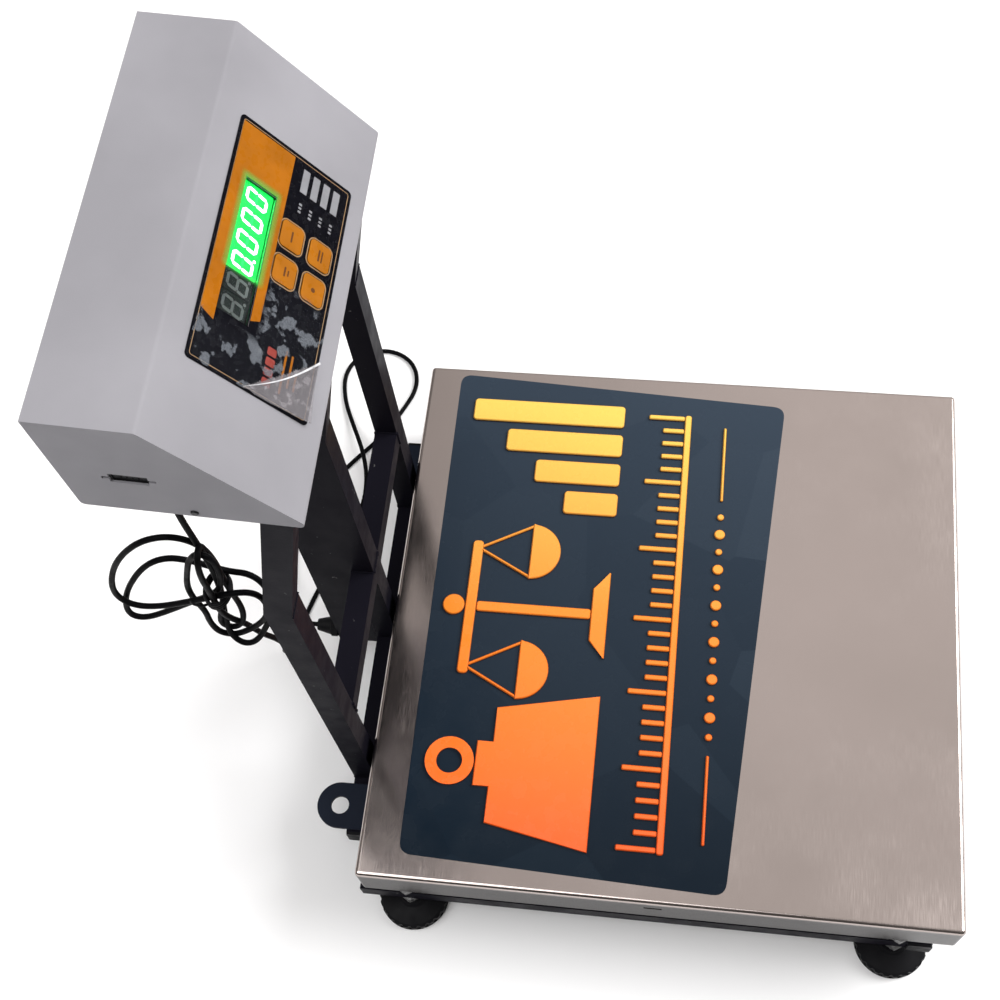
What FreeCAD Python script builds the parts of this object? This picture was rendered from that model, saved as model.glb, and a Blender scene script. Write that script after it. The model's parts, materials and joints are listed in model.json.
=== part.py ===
import FreeCAD, Part
import math
import os
import Sketcher

# Bench platform weighing scale: steel base on levelling feet, load cell, lift-off deck,
# bent back stand and a sheet-metal indicator. Millimetres. The origin is the centre of
# the deck's top face, +X is the user's right, +Y the back and +Z up.

V = FreeCAD.Vector
doc = FreeCAD.newDocument("bench_scale")
sheet = doc.addObject("Spreadsheet::Sheet", "Sizes")

DRIVING = {
    # deck
    "deck": 400, "skirt": 36, "steel": 1.2, "fold": 3, "slot_long": 12, "slot_high": 3.5,
    "slot_drop": 13,
    # base frame
    "rail": 16, "wall": 1.5, "rail_top": -55, "floor_level": -100, "base_half": 197,
    "rear_half": 158, "base_front": -188, "post_front": 205, "back_cross_y": 164,
    "cross_wide": 40,
    # lugs
    "lug_x": 140, "lug_wide": 33, "lug_thick": 3, "lug_reach": 228, "lug_hole": 6.5,
    # levelling feet
    "foot_x": 189, "foot_front_y": -166, "foot_back_y": 172, "pad_radius": 25, "pad_thick": 10,
    "pad_boss": 4, "stud_radius": 5, "stud_top": -43, "thread_play": 0.05, "nut_flats": 17,
    "nut_high": 8, "stud_hole": 5.5,
    # load cell and spider
    "cell_long": 130, "cell_wide": 30, "cell_high": 22, "low_spacer": 4, "top_spacer": 5,
    "cell_end": 30, "cell_bore": 7, "cell_bore_x": 12, "cell_bolt_x": 50, "cell_bolt_gap": 15,
    "cell_bolt": 3, "buffer_x": 166, "buffer_y": 158, "buffer_radius": 10, "spider_long": 368,
    "stop_front_y": -178, "stop_back_y": 172, "stop_gap": 1.2,
    # back stand
    "post_x": 110, "bend_level": 252, "lean": 11.8, "crossbar_top": 66, "stay_deep": 32,
    "stay_wide": 12,
    # indicator box, seen from its front bottom edge
    "box_y": 171, "box_z": 370, "tilt": 5.3, "box_wide": 236, "box_bottom": 111.5,
    "box_high": 78.5, "box_rake": 9.4, "box_crease": 70.2,
    "flange": 12, "panel_wide": 140, "panel_high": 75, "panel_y": 53, "panel_thick": 0.5,
    "window_wide": 76, "window_high": 20, "window_y": 70, "key_wide": 15, "key_high": 14,
    "key_x": 1.5, "key_step_x": 20.6, "key_y": 28, "key_step_y": 18.8, "key_gap": 0.2,
    "key_proud": 0.4, "board_depth": 14, "board_thick": 1.6, "serial_y": 82, "serial_z": 32,
    # cable
    "cable": 3.6, "gland_x": -98, "gland_y": 77, "base_gland_z": -60,
    "hank_long": 130, "hank_wide": 88, "hank_thick": 36,
}


class Size:
    """A number together with the spreadsheet expression that gives it."""

    def __init__(self, value, text):
        self.value = value
        self.text = text

    def __add__(self, other):
        other = size(other)
        return Size(self.value + other.value, f"({self.text} + {other.text})")

    def __sub__(self, other):
        other = size(other)
        return Size(self.value - other.value, f"({self.text} - {other.text})")

    def __mul__(self, other):
        other = size(other)
        return Size(self.value * other.value, f"({self.text} * {other.text})")

    def __truediv__(self, other):
        other = size(other)
        return Size(self.value / other.value, f"({self.text} / {other.text})")

    def __neg__(self):
        return Size(-self.value, f"(0 - {self.text})")

    __radd__ = __add__
    __rmul__ = __mul__

    def __rsub__(self, other):
        return size(other) - self


def size(number):
    return number if isinstance(number, Size) else Size(float(number), f"({float(number):.6g})")


def sine(angle):
    return Size(math.sin(math.radians(angle.value)), f"sin({angle.text} * 1 deg)")


def cosine(angle):
    return Size(math.cos(math.radians(angle.value)), f"cos({angle.text} * 1 deg)")


def tangent(angle):
    return Size(math.tan(math.radians(angle.value)), f"tan({angle.text} * 1 deg)")


for row, (name, number) in enumerate(DRIVING.items(), start=1):
    sheet.set(f"A{row}", name)
    sheet.set(f"B{row}", str(number))
    sheet.setAlias(f"B{row}", name)
doc.recompute()
S = {name: Size(float(number), f"Sizes.{name}") for name, number in DRIVING.items()}

rail = S["rail"]
half_rail = rail / 2
wall = S["wall"]
steel = S["steel"]
rail_top = S["rail_top"]
rail_bottom = rail_top - rail
post_front = S["post_front"]
post_back = post_front + rail
cell_bottom = rail_top + S["low_spacer"]
cell_top = cell_bottom + S["cell_high"]
spider_bottom = cell_top + S["top_spacer"]
spider_top = spider_bottom + rail
under_deck = -steel
SLOPE_ANGLE = Size(math.degrees(math.atan2(S["box_high"].value, S["box_crease"].value)),
                   "(atan(Sizes.box_high / Sizes.box_crease) / 1 deg)")
slope_tilt = SLOPE_ANGLE + S["tilt"]

nodes = []


# ---------------------------------------------------------------- document helpers

def keep(item, label):
    item.Label = label
    nodes.append(item)
    return item


def bind(item, name, amount):
    item.setExpression(name, size(amount).text)


def place(item, x=0, y=0, z=0, turn=None):
    """Put an object at (x, y, z), turned about X by an angle when one is given."""
    x, y, z = size(x), size(y), size(z)
    angle = size(0 if turn is None else turn)
    item.Placement = FreeCAD.Placement(V(x.value, y.value, z.value),
                                       FreeCAD.Rotation(V(1, 0, 0), angle.value))
    for axis, amount in zip("xyz", (x, y, z)):
        bind(item, f"Placement.Base.{axis}", amount)
    if turn is not None:
        bind(item, "Placement.Rotation.Angle", angle)


def new_body(label):
    return keep(doc.addObject("PartDesign::Body", label), label)


def new_sketch(body, role, height=0):
    sketch = body.newObject("Sketcher::SketchObject", body.Name + "_sketch")
    plane = [item for item in body.Origin.OriginFeatures if item.Role == role][0]
    sketch.AttachmentSupport = [(plane, "")]
    sketch.MapMode = "FlatFace"
    if size(height).value:
        sketch.AttachmentOffset = FreeCAD.Placement(V(0, 0, size(height).value),
                                                    FreeCAD.Rotation())
        bind(sketch, "AttachmentOffset.Base.z", height)
    return sketch


def pin_point(sketch, geometry, position, x, y):
    for kind, axis, amount in (("DistanceX", -2, size(x)), ("DistanceY", -1, size(y))):
        if abs(amount.value) < 1e-9:
            sketch.addConstraint(Sketcher.Constraint("PointOnObject", geometry, position, axis))
        else:
            index = sketch.addConstraint(
                Sketcher.Constraint(kind, -1, 1, geometry, position, amount.value))
            bind(sketch, f"Constraints[{index}]", amount)


def polygon(sketch, points):
    points = [(size(x), size(y)) for x, y in points]
    first = sketch.GeometryCount
    count = len(points)
    for index, (x, y) in enumerate(points):
        next_x, next_y = points[(index + 1) % count]
        line = Part.LineSegment(V(x.value, y.value, 0), V(next_x.value, next_y.value, 0))
        sketch.addGeometry(line, False)
    for index in range(count):
        following = first + (index + 1) % count
        sketch.addConstraint(Sketcher.Constraint("Coincident", first + index, 2, following, 1))
    for index, (x, y) in enumerate(points):
        pin_point(sketch, first + index, 1, x, y)


def rectangle(sketch, low_x, low_y, high_x, high_y):
    polygon(sketch, [(low_x, low_y), (high_x, low_y), (high_x, high_y), (low_x, high_y)])


def circle(sketch, x, y, radius):
    radius = size(radius)
    centre = V(size(x).value, size(y).value, 0)
    index = sketch.addGeometry(Part.Circle(centre, V(0, 0, 1), radius.value), False)
    dimension = sketch.addConstraint(Sketcher.Constraint("Radius", index, radius.value))
    bind(sketch, f"Constraints[{dimension}]", radius)
    pin_point(sketch, index, 3, x, y)


def extrude(body, kind, sketch, length, midplane=False, backward=False):
    feature = body.newObject("PartDesign::" + kind, body.Name + "_" + kind.lower())
    feature.Profile = sketch
    feature.Length = size(length).value
    bind(feature, "Length", length)
    feature.Midplane = midplane
    feature.Reversed = backward
    before = body.Shape.Volume if kind == "Pocket" else 0
    doc.recompute()
    if kind == "Pocket" and body.Shape.Volume > before - 1e-6:
        raise RuntimeError(body.Label + ": a pocket cut nothing")
    return feature


def pad(body, sketch, length, **how):
    return extrude(body, "Pad", sketch, length, **how)


def pocket(body, sketch, length, **how):
    return extrude(body, "Pocket", sketch, length, **how)


def block(body, kind, box, turn=None):
    """Add or take away a box given by its low corner and its three sizes."""
    x, y, z, wide, deep, high = (size(amount) for amount in box)
    feature = body.newObject("PartDesign::" + kind, body.Name + "_box")
    for name, amount in (("Length", wide), ("Width", deep), ("Height", high)):
        setattr(feature, name, amount.value)
        bind(feature, name, amount)
    angle = size(0 if turn is None else turn)
    rotation = FreeCAD.Rotation(V(1, 0, 0), angle.value)
    feature.Placement = FreeCAD.Placement(rotation.multVec(V(x.value, y.value, z.value)), rotation)
    doc.recompute()
    return feature


def fillet(body, radius, wanted):
    """Round the edges of the body's tip for which wanted(edge) is true."""
    tip = body.Tip
    names = [f"Edge{index}" for index, edge in enumerate(tip.Shape.Edges, 1) if wanted(edge)]
    feature = body.newObject("PartDesign::Fillet", body.Name + "_fillet")
    feature.Base = (tip, names)
    feature.Radius = size(radius).value
    bind(feature, "Radius", radius)
    doc.recompute()
    return feature


def runs_along(edge, axis):
    start, end = edge.Vertexes[0].Point, edge.Vertexes[-1].Point
    return abs(abs((end - start).getAngle(axis) - math.pi / 2) - math.pi / 2) < 1e-4


def shaped(label, shape, placement=None):
    """A Part::Feature for a piece that neither a body nor a primitive suits."""
    item = keep(doc.addObject("Part::Feature", label), label)
    item.Shape = shape
    item.Placement = placement or FreeCAD.Placement()
    return item


def read(name):
    return float(sheet.get(name))


def tube(label, axis, length, x, y, z, wide=rail, high=rail, thick=wall):
    """A rectangular tube that starts at (x, y, z), the middle of its end, and runs along
    +X, +Y or +Z. wide and high are its two sizes across, in the order X, Y, Z."""
    role = {"X": "YZ_Plane", "Y": "XZ_Plane", "Z": "XY_Plane"}[axis]
    body = new_body(label)
    sketch = new_sketch(body, role)
    rectangle(sketch, -wide / 2, -high / 2, wide / 2, high / 2)
    rectangle(sketch, thick - wide / 2, thick - high / 2, wide / 2 - thick, high / 2 - thick)
    pad(body, sketch, length, backward=axis == "Y")
    place(body, x, y, z)
    return body


def drill(body, role, spots, radius, length, height=0, **how):
    sketch = new_sketch(body, role, height)
    for x, y in spots:
        circle(sketch, x, y, radius)
    pocket(body, sketch, length, **how)


# ---------------------------------------------------------------- plain shapes for groups

def cylinder(radius, length, base=V(0, 0, 0), axis=V(0, 0, 1)):
    return Part.makeCylinder(radius, length, base, axis)


def hexagon(flats, high, base=V(0, 0, 0)):
    corner = flats / math.sqrt(3)
    points = [base + V(corner * math.cos(math.radians(60 * step)),
                       corner * math.sin(math.radians(60 * step)), 0) for step in range(7)]
    prism = Part.Face(Part.makePolygon(points)).extrude(V(0, 0, high))
    crown = Part.makeCone(flats / 2 + high * 1.5, flats / 2, high * 1.0, base)
    return prism.common(crown.fuse(cylinder(flats / 2 + 0.6, high * 0.75, base)))


def hex_nut(flats, bore, high):
    return hexagon(flats, high).cut(cylinder(bore, high))


def hex_bolt(flats, head, shank, length):
    """A bolt with its head's underside at z = 0 and its shank pointing down."""
    return hexagon(flats, head).fuse(cylinder(shank, length, V(0, 0, -length)))


def repeat(label, shape, spots, rotation=None):
    """One node of identical separate solids, one at each spot."""
    copies = []
    for spot in spots:
        copy = shape.copy()
        copy.Placement = FreeCAD.Placement(spot, rotation or FreeCAD.Rotation())
        copies.append(copy)
    return shaped(label, Part.makeCompound(copies))


FEET = {
    "front_left": (-S["foot_x"], S["foot_front_y"]),
    "front_right": (S["foot_x"], S["foot_front_y"]),
    "back_left": (-S["foot_x"], S["foot_back_y"]),
    "back_right": (S["foot_x"], S["foot_back_y"]),
}


# ---------------------------------------------------------------- base frame

def make_base():
    inner = S["base_half"] * 2 - rail * 2
    side_start = S["base_front"] + rail
    side_long = post_front - side_start
    middle_z = rail_top - half_rail
    for label, sign in (("base_side_left", -1), ("base_side_right", 1)):
        body = tube(label, "Y", side_long, sign * (S["base_half"] - half_rail), side_start, middle_z)
        offset = S["foot_x"] - (S["base_half"] - half_rail)
        spots = [(sign * offset, S["foot_front_y"] - side_start),
                 (sign * offset, S["foot_back_y"] - side_start)]
        drill(body, "XY_Plane", spots, S["stud_hole"], rail * 2, midplane=True)
    full = S["base_half"] * 2
    tube("base_front_rail", "X", full, -S["base_half"], S["base_front"] + half_rail, middle_z)
    rear = tube("base_rear_rail", "X", S["rear_half"] * 2, size(0) - S["rear_half"],
                post_front + half_rail, middle_z)
    drill(rear, "XZ_Plane", [(S["rear_half"], S["base_gland_z"] - middle_z)],
          S["cable"] / 2 + 0.7, rail * 2, midplane=True)
    back_wide = post_front - S["back_cross_y"]
    back = tube("base_back_cross", "X", inner, rail - S["base_half"],
                S["back_cross_y"] + back_wide / 2, middle_z, wide=back_wide)
    drill(back, "XZ_Plane", [(S["base_half"] - rail, S["base_gland_z"] - middle_z)],
          S["cable"] / 2 + 0.7, back_wide + 4, midplane=True)
    cross = tube("base_cross_member", "X", inner, rail - S["base_half"], 0, middle_z,
                 wide=S["cross_wide"])
    spots = [(S["base_half"] - rail + S["cell_bolt_x"] + side * S["cell_bolt_gap"] / 2, 0)
             for side in (-1, 1)]
    drill(cross, "XY_Plane", spots, S["cell_bolt"] + 0.3, rail * 2, midplane=True)

    half = read("rail") / 2
    plug = Part.makeBox(2, 2 * half, 2 * half, V(0, -half, -half))
    plug = plug.makeFillet(1.2, [edge for edge in plug.Edges if edge.BoundBox.XLength > 1.9])
    core = half - read("wall") - 0.1
    plug = plug.fuse(Part.makeBox(9, 2 * core, 2 * core, V(-9, -core, -core)))
    left = plug.copy()
    left.rotate(V(0, 0, 0), V(0, 0, 1), 180)
    plugs = []
    ends = ((read("base_half"), read("base_front") + half),
            (read("rear_half"), read("post_front") + half))
    for shape, sign in ((plug, 1), (left, -1)):
        for x, y in ends:
            copy = shape.copy()
            copy.translate(V(sign * x, y, read("rail_top") - half))
            plugs.append(copy)
    shaped("rail_end_plugs", Part.makeCompound(plugs))


def make_lugs():
    for label, sign in (("lug_left", -1), ("lug_right", 1)):
        body = new_body(label)
        sketch = new_sketch(body, "XY_Plane")
        half = S["lug_wide"] / 2
        rectangle(sketch, -half, post_front, half, S["lug_reach"])
        pad(body, sketch, S["lug_thick"])
        tongue = new_sketch(body, "XY_Plane")
        circle(tongue, 0, S["lug_reach"], half)
        pad(body, tongue, S["lug_thick"])
        drill(body, "XY_Plane", [(0, S["lug_reach"])], S["lug_hole"], S["lug_thick"] * 2,
              midplane=True)
        place(body, sign * S["lug_x"], 0, rail_top)


def make_feet():
    """Levelling feet: a pad that turns, a threaded stud, and a lock nut and a welded nut."""
    floor_level = S["floor_level"]
    pad_top = S["pad_thick"]
    boss_top = pad_top + S["pad_boss"]
    bore = S["stud_radius"] + S["thread_play"]
    for corner, (x, y) in FEET.items():
        body = new_body("foot_pad_" + corner)
        sketch = new_sketch(body, "XZ_Plane")
        radius = S["pad_radius"]
        polygon(sketch, [(0, 0), (radius - 1.5, 0), (radius, 2), (radius, pad_top - 2),
                         (radius - 2, pad_top), (11, pad_top + 1.5), (9, boss_top),
                         (bore, boss_top), (bore, 4), (0, 4)])
        spin = body.newObject("PartDesign::Revolution", body.Name + "_turned")
        spin.Profile = sketch
        spin.ReferenceAxis = (sketch, ["V_Axis"])
        spin.Angle = 360
        doc.recompute()
        notch = new_sketch(body, "XY_Plane", 2)
        circle(notch, radius + 1.2, 0, 2.2)
        cut = pocket(body, notch, pad_top, backward=True)
        ring = body.newObject("PartDesign::PolarPattern", body.Name + "_rim")
        ring.Originals = [cut]
        ring.Axis = (notch, ["N_Axis"])
        ring.Angle = 360
        ring.Occurrences = 24
        body.Tip = ring
        doc.recompute()
        place(body, x, y, floor_level)

        stud = new_body("foot_stud_" + corner)
        sketch = new_sketch(stud, "XY_Plane")
        circle(sketch, 0, 0, S["stud_radius"])
        stud_long = S["stud_top"] - floor_level - 4.2
        pad(stud, sketch, stud_long)
        fillet(stud, 1, lambda edge: edge.BoundBox.ZMin > 20)
        place(stud, x, y, floor_level + 4.2)

    nut = hex_nut(read("nut_flats"), read("stud_radius") + read("thread_play"), read("nut_high"))
    top = read("rail_top")
    bottom = top - read("rail") - read("nut_high")
    spots = [V(x.value, y.value, level) for level in (top, bottom) for x, y in FEET.values()]
    repeat("foot_nuts", nut, spots)


# ---------------------------------------------------------------- load cell and spider

def make_cell():
    body = new_body("load_cell")
    sketch = new_sketch(body, "XZ_Plane")
    rectangle(sketch, -S["cell_long"] / 2, 0, S["cell_long"] / 2, S["cell_high"])
    pad(body, sketch, S["cell_wide"], midplane=True)
    middle = S["cell_high"] / 2
    drill(body, "XZ_Plane", [(-S["cell_bore_x"], middle), (S["cell_bore_x"], middle)],
          S["cell_bore"], S["cell_wide"] + 2, midplane=True)
    neck = new_sketch(body, "XZ_Plane")
    rectangle(neck, -S["cell_bore_x"], middle - 1.5, S["cell_bore_x"], middle + 1.5)
    pocket(body, neck, S["cell_wide"] + 2, midplane=True)
    half_gap = S["cell_bolt_gap"] / 2
    bolt_bore = S["cell_bolt"] + 0.05
    fixed = [(S["cell_bolt_x"] - half_gap, 0), (S["cell_bolt_x"] + half_gap, 0)]
    drill(body, "XY_Plane", fixed, bolt_bore, 14, backward=True)
    moving = [(-x, y) for x, y in fixed]
    drill(body, "XY_Plane", moving, bolt_bore, 14, height=S["cell_high"])
    place(body, 0, 0, cell_bottom)

    spacer_x = S["cell_long"] / 2 - S["cell_end"]
    for label, side, level, thick in (("cell_spacer_lower", 1, rail_top, S["low_spacer"]),
                                      ("cell_spacer_upper", -1, cell_top, S["top_spacer"])):
        plate = new_body(label)
        sketch = new_sketch(plate, "XY_Plane")
        low, high = (spacer_x, S["cell_long"] / 2) if side > 0 else (-S["cell_long"] / 2, -spacer_x)
        rectangle(sketch, low, -S["cell_wide"] / 2, high, S["cell_wide"] / 2)
        pad(plate, sketch, thick)
        spots = fixed if side > 0 else moving
        drill(plate, "XY_Plane", spots, S["cell_bolt"] + 0.3, thick * 2, midplane=True)
        place(plate, 0, 0, level)

    bolt = hex_bolt(10, 4, read("cell_bolt"), read("rail") + 14)
    gap = read("cell_bolt_gap") / 2
    bolts = []
    for side in (-1, 1):
        lower = bolt.copy()
        lower.rotate(V(0, 0, 0), V(1, 0, 0), 180)
        lower.translate(V(read("cell_bolt_x") + side * gap, 0, rail_bottom.value))
        upper = bolt.copy()
        upper.translate(V(-read("cell_bolt_x") + side * gap, 0, spider_top.value))
        bolts += [lower, upper]
    shaped("cell_bolts", Part.makeCompound(bolts))


def make_spider():
    middle_z = spider_bottom + half_rail
    beam_long = S["buffer_x"] * 2 - rail
    beam = tube("spider_beam", "X", beam_long, half_rail - S["buffer_x"], 0, middle_z,
                wide=S["cross_wide"])
    spots = [(S["buffer_x"] - half_rail - S["cell_bolt_x"] + side * S["cell_bolt_gap"] / 2, 0)
             for side in (-1, 1)]
    drill(beam, "XY_Plane", spots, S["cell_bolt"] + 0.3, rail * 2, midplane=True)
    for label, sign in (("spider_bar_left", -1), ("spider_bar_right", 1)):
        tube(label, "Y", S["spider_long"], sign * S["buffer_x"], -S["spider_long"] / 2, middle_z)

    high = under_deck.value - spider_top.value
    radius = read("buffer_radius")
    rubber = cylinder(radius, high)
    rubber = rubber.makeChamfer(1.0, [edge for edge in rubber.Edges if len(edge.Vertexes) == 1
                                      and edge.BoundBox.ZMin > high * 0.9])
    corners = [(side_x, side_y) for side_x in (-1, 1) for side_y in (-1, 1)]
    repeat("deck_buffers", rubber, [V(side_x * read("buffer_x"), side_y * read("buffer_y"),
                                      spider_top.value) for side_x, side_y in corners])

    stop = cylinder(4, spider_bottom.value - read("stop_gap") - read("rail_top"))
    stop = stop.fuse(hexagon(13, 6.5))
    rows = (read("stop_front_y"), read("stop_back_y"))
    repeat("overload_stops", stop, [V(side_x * read("buffer_x"), y, read("rail_top"))
                                    for side_x in (-1, 1) for y in rows])


# ---------------------------------------------------------------- deck

def make_deck():
    deck = S["deck"]
    half = deck / 2
    body = new_body("deck_plate")
    sketch = new_sketch(body, "XY_Plane")
    rectangle(sketch, -half, -half, half, half)
    pad(body, sketch, S["skirt"], backward=True)
    fillet(body, S["fold"], lambda edge: edge.BoundBox.ZMax > -1e-6
           or runs_along(edge, V(0, 0, 1)))
    tray = new_sketch(body, "XY_Plane", -S["skirt"])
    inside = half - steel
    rectangle(tray, -inside, -inside, inside, inside)
    pocket(body, tray, S["skirt"] - steel, backward=True)
    slot = new_sketch(body, "YZ_Plane")
    low = -S["slot_drop"] - S["slot_high"] / 2
    rectangle(slot, -S["slot_long"] / 2, low, S["slot_long"] / 2, low + S["slot_high"])
    pocket(body, slot, half + 1)



# ---------------------------------------------------------------- back stand

def on_lean(y, z, along):
    """A point that many millimetres up the leaning part from (y, z)."""
    return y - along * sine(S["lean"]), z + along * cosine(S["lean"])


def under_box(y, z):
    """Where the leaning line through (y, z) meets the underside of the indicator."""
    drop = tangent(S["tilt"])
    rise = S["box_z"] + (y - S["box_y"]) * drop - z
    along = rise / (cosine(S["lean"]) + sine(S["lean"]) * drop)
    return on_lean(y, z, along)


def post_outline(inset, foot):
    """The bent side view of a post; inset 0 is its outside, the wall its bore."""
    front = post_front + inset
    back = post_back - inset
    mitre = tangent(S["lean"] / 2)
    front_bend = S["bend_level"] + inset * mitre
    back_bend = S["bend_level"] + (rail - inset) * mitre
    return [(front, foot), (back, foot), (back, back_bend), under_box(back, back_bend),
            under_box(front, front_bend), (front, front_bend)]


def bent_post(label, x, foot):
    body = new_body(label)
    outside = new_sketch(body, "YZ_Plane")
    polygon(outside, post_outline(size(0), foot))
    pad(body, outside, rail, midplane=True)
    bore = new_sketch(body, "YZ_Plane")
    polygon(bore, post_outline(wall, foot))
    pocket(body, bore, rail - wall * 2, midplane=True)
    place(body, x, 0, 0)


def make_stand():
    bent_post("post_left", -S["post_x"], rail_top)
    bent_post("post_right", S["post_x"], rail_top)
    bent_post("post_middle", size(0), S["crossbar_top"])
    bar_long = S["post_x"] * 2 - rail
    middle_y = post_front + half_rail
    tube("post_crossbar", "X", bar_long, half_rail - S["post_x"], middle_y,
         S["crossbar_top"] - half_rail)
    lower_long = S["crossbar_top"] - rail - rail_top
    tube("post_middle_lower", "Z", lower_long, 0, middle_y, rail_top)

    stay = new_body("rear_stay")
    for inset, feature, across in ((size(0), pad, S["stay_wide"]),
                                   (wall, pocket, S["stay_wide"] - wall * 2)):
        sketch = new_sketch(stay, "YZ_Plane")
        front, back = post_back + inset, post_back + S["stay_deep"] - inset
        drop = tangent(S["tilt"])
        polygon(sketch, [(front, rail_bottom), (back, rail_bottom),
                         (back, S["box_z"] + (back - S["box_y"]) * drop),
                         (front, S["box_z"] + (front - S["box_y"]) * drop)])
        feature(stay, sketch, across, midplane=True)
    drill(stay, "XZ_Plane", [(0, S["base_gland_z"])], S["cable"] / 2 + 0.7,
          (post_back + S["stay_deep"]) * 2 + 4, midplane=True)


# ---------------------------------------------------------------- indicator housing

BOLT_Y = 19                  # of the two bolts that hold the box on the posts
BOLT_HOLE = 3.3
GLAND_HOLE = 6.1
SIDE_SCREW = (56, 4.2)       # one screw in each end plate
SIDE_SCREW_HOLE = 1.6
SIDE_SCREW_THREAD = 1.3
PORT_HALF = 9.2              # the serial port's slot and the notches at its ends
PORT_HALF_TALL = 4
PORT_NOTCH = 12.8
PORT_NOTCH_TALL = 1.2


def make_cover():
    """Front cover: top, slope, bottom flange and both end plates."""
    bottom, high, crease = S["box_bottom"], S["box_high"], S["box_crease"]
    back_top = bottom + S["box_rake"]
    body = new_body("indicator_cover")
    sketch = new_sketch(body, "YZ_Plane")
    polygon(sketch, [(0, 0), (bottom, 0), (back_top, high), (crease, high)])
    pad(body, sketch, S["box_wide"], midplane=True)
    fillet(body, 3, lambda edge: runs_along(edge, V(1, 0, 0)) and edge.BoundBox.YMin < 115)
    inner = new_sketch(body, "YZ_Plane")
    # the bore's slope keeps one sheet thickness from the outer slope
    shift = steel / sine(SLOPE_ANGLE)
    run = crease / high
    flange = S["flange"]
    polygon(inner, [(flange, -1), (flange, steel), (steel * run + shift, steel),
                    ((high - steel) * run + shift, high - steel),
                    (back_top + 4, high - steel), (back_top + 4, -1)])
    pocket(body, inner, S["box_wide"] - steel * 2, midplane=True)

    serial = new_sketch(body, "YZ_Plane")
    y, z = S["serial_y"], S["serial_z"]
    half, tall, notch, thin = PORT_HALF, PORT_HALF_TALL, PORT_NOTCH, PORT_NOTCH_TALL
    polygon(serial, [(y - half, z - tall), (y + half, z - tall), (y + half, z - thin),
                     (y + notch, z - thin), (y + notch, z + thin), (y + half, z + thin),
                     (y + half, z + tall), (y - half, z + tall), (y - half, z + thin),
                     (y - notch, z + thin), (y - notch, z - thin), (y - half, z - thin)])
    pocket(body, serial, S["box_wide"] / 2 + 1)
    drill(body, "YZ_Plane", [SIDE_SCREW], SIDE_SCREW_HOLE, S["box_wide"] + 2, midplane=True)

    window_half = S["window_wide"] / 2
    block(body, "SubtractiveBox", (-window_half, S["window_y"] - S["window_high"] / 2, -4,
                                   S["window_wide"], S["window_high"], 8), SLOPE_ANGLE)
    for x, y in KEYS.values():
        block(body, "SubtractiveBox", (x - S["key_wide"] / 2 - S["key_gap"],
                                       y - S["key_high"] / 2 - S["key_gap"], -4,
                                       S["key_wide"] + S["key_gap"] * 2,
                                       S["key_high"] + S["key_gap"] * 2, 8), SLOPE_ANGLE)
    place(body, 0, S["box_y"], S["box_z"], S["tilt"])


def make_back():
    """Back cover: the floor and the raked back of the indicator, in one folded sheet."""
    bottom, high = S["box_bottom"], S["box_high"] - steel - 0.2
    rake = S["box_rake"] / S["box_high"]
    across = S["box_wide"] - steel * 2 - 0.4
    body = new_body("indicator_back")
    sketch = new_sketch(body, "YZ_Plane")
    start = S["flange"] + 0.3
    polygon(sketch, [(start, 0), (bottom, 0), (bottom + high * rake, high),
                     (bottom + high * rake - steel, high),
                     (bottom + steel * rake - steel, steel), (start, steel)])
    pad(body, sketch, across, midplane=True)
    for side in (-1, 1):
        edge = side * across / 2
        low = edge if side < 0 else edge - steel
        block(body, "AdditiveBox", (low, start + 20, 0.6, steel, 76, 9))
    for spots, radius in (([(-S["post_x"], BOLT_Y), (S["post_x"], BOLT_Y)], BOLT_HOLE),
                          ([(S["gland_x"], S["gland_y"])], GLAND_HOLE)):
        drill(body, "XY_Plane", spots, radius, steel * 4, midplane=True)
    drill(body, "YZ_Plane", [SIDE_SCREW], SIDE_SCREW_THREAD, S["box_wide"], midplane=True)
    place(body, 0, S["box_y"], S["box_z"], S["tilt"])


def box_placement(y, z, x=0.0):
    """Placement of a shape in the indicator's own frame."""
    frame = FreeCAD.Placement(V(0, read("box_y"), read("box_z")),
                              FreeCAD.Rotation(V(1, 0, 0), read("tilt")))
    return frame.multiply(FreeCAD.Placement(V(x, y, z), FreeCAD.Rotation()))


def make_fasteners():
    head, head_high, shank, shank_long = 2, 1, 1.2, 6
    pattern = cylinder(shank, shank_long, V(0, 0, -shank_long)).fuse(cylinder(head, head_high))
    pattern = pattern.makeFillet(0.6, [edge for edge in pattern.Edges
                                       if edge.BoundBox.ZMin > head_high - 0.1])
    screws = []
    for sign in (-1, 1):
        screw = pattern.copy()
        screw.rotate(V(0, 0, 0), V(0, 1, 0), 90 * sign)
        screw.translate(V(sign * read("box_wide") / 2, *SIDE_SCREW))
        screws.append(screw)
    shaped("cover_screws", Part.makeCompound(screws), box_placement(0, 0))

    bolt = hex_bolt(10, 4, 3, 11).fuse(cylinder(6.5, 1.2))
    plate = Part.makeBox(12.6, 9.4, 3, V(-6.3, -4.7, -6.5)).cut(cylinder(3.05, 3, V(0, 0, -6.5)))
    for label, shape in (("stand_bolts", bolt), ("stand_nut_plates", plate)):
        spots = [V(sign * read("post_x"), BOLT_Y, read("steel")) for sign in (-1, 1)]
        repeat(label, shape, spots).Placement = box_placement(0, 0)


# ---------------------------------------------------------------- front panel

KEYS = {f"key_{number}": (S["key_x"] + S["key_step_x"] * column, S["key_y"] + S["key_step_y"] * line)
        for number, (column, line) in enumerate(((0, 1), (1, 1), (0, 0), (1, 0)), start=1)}


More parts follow.
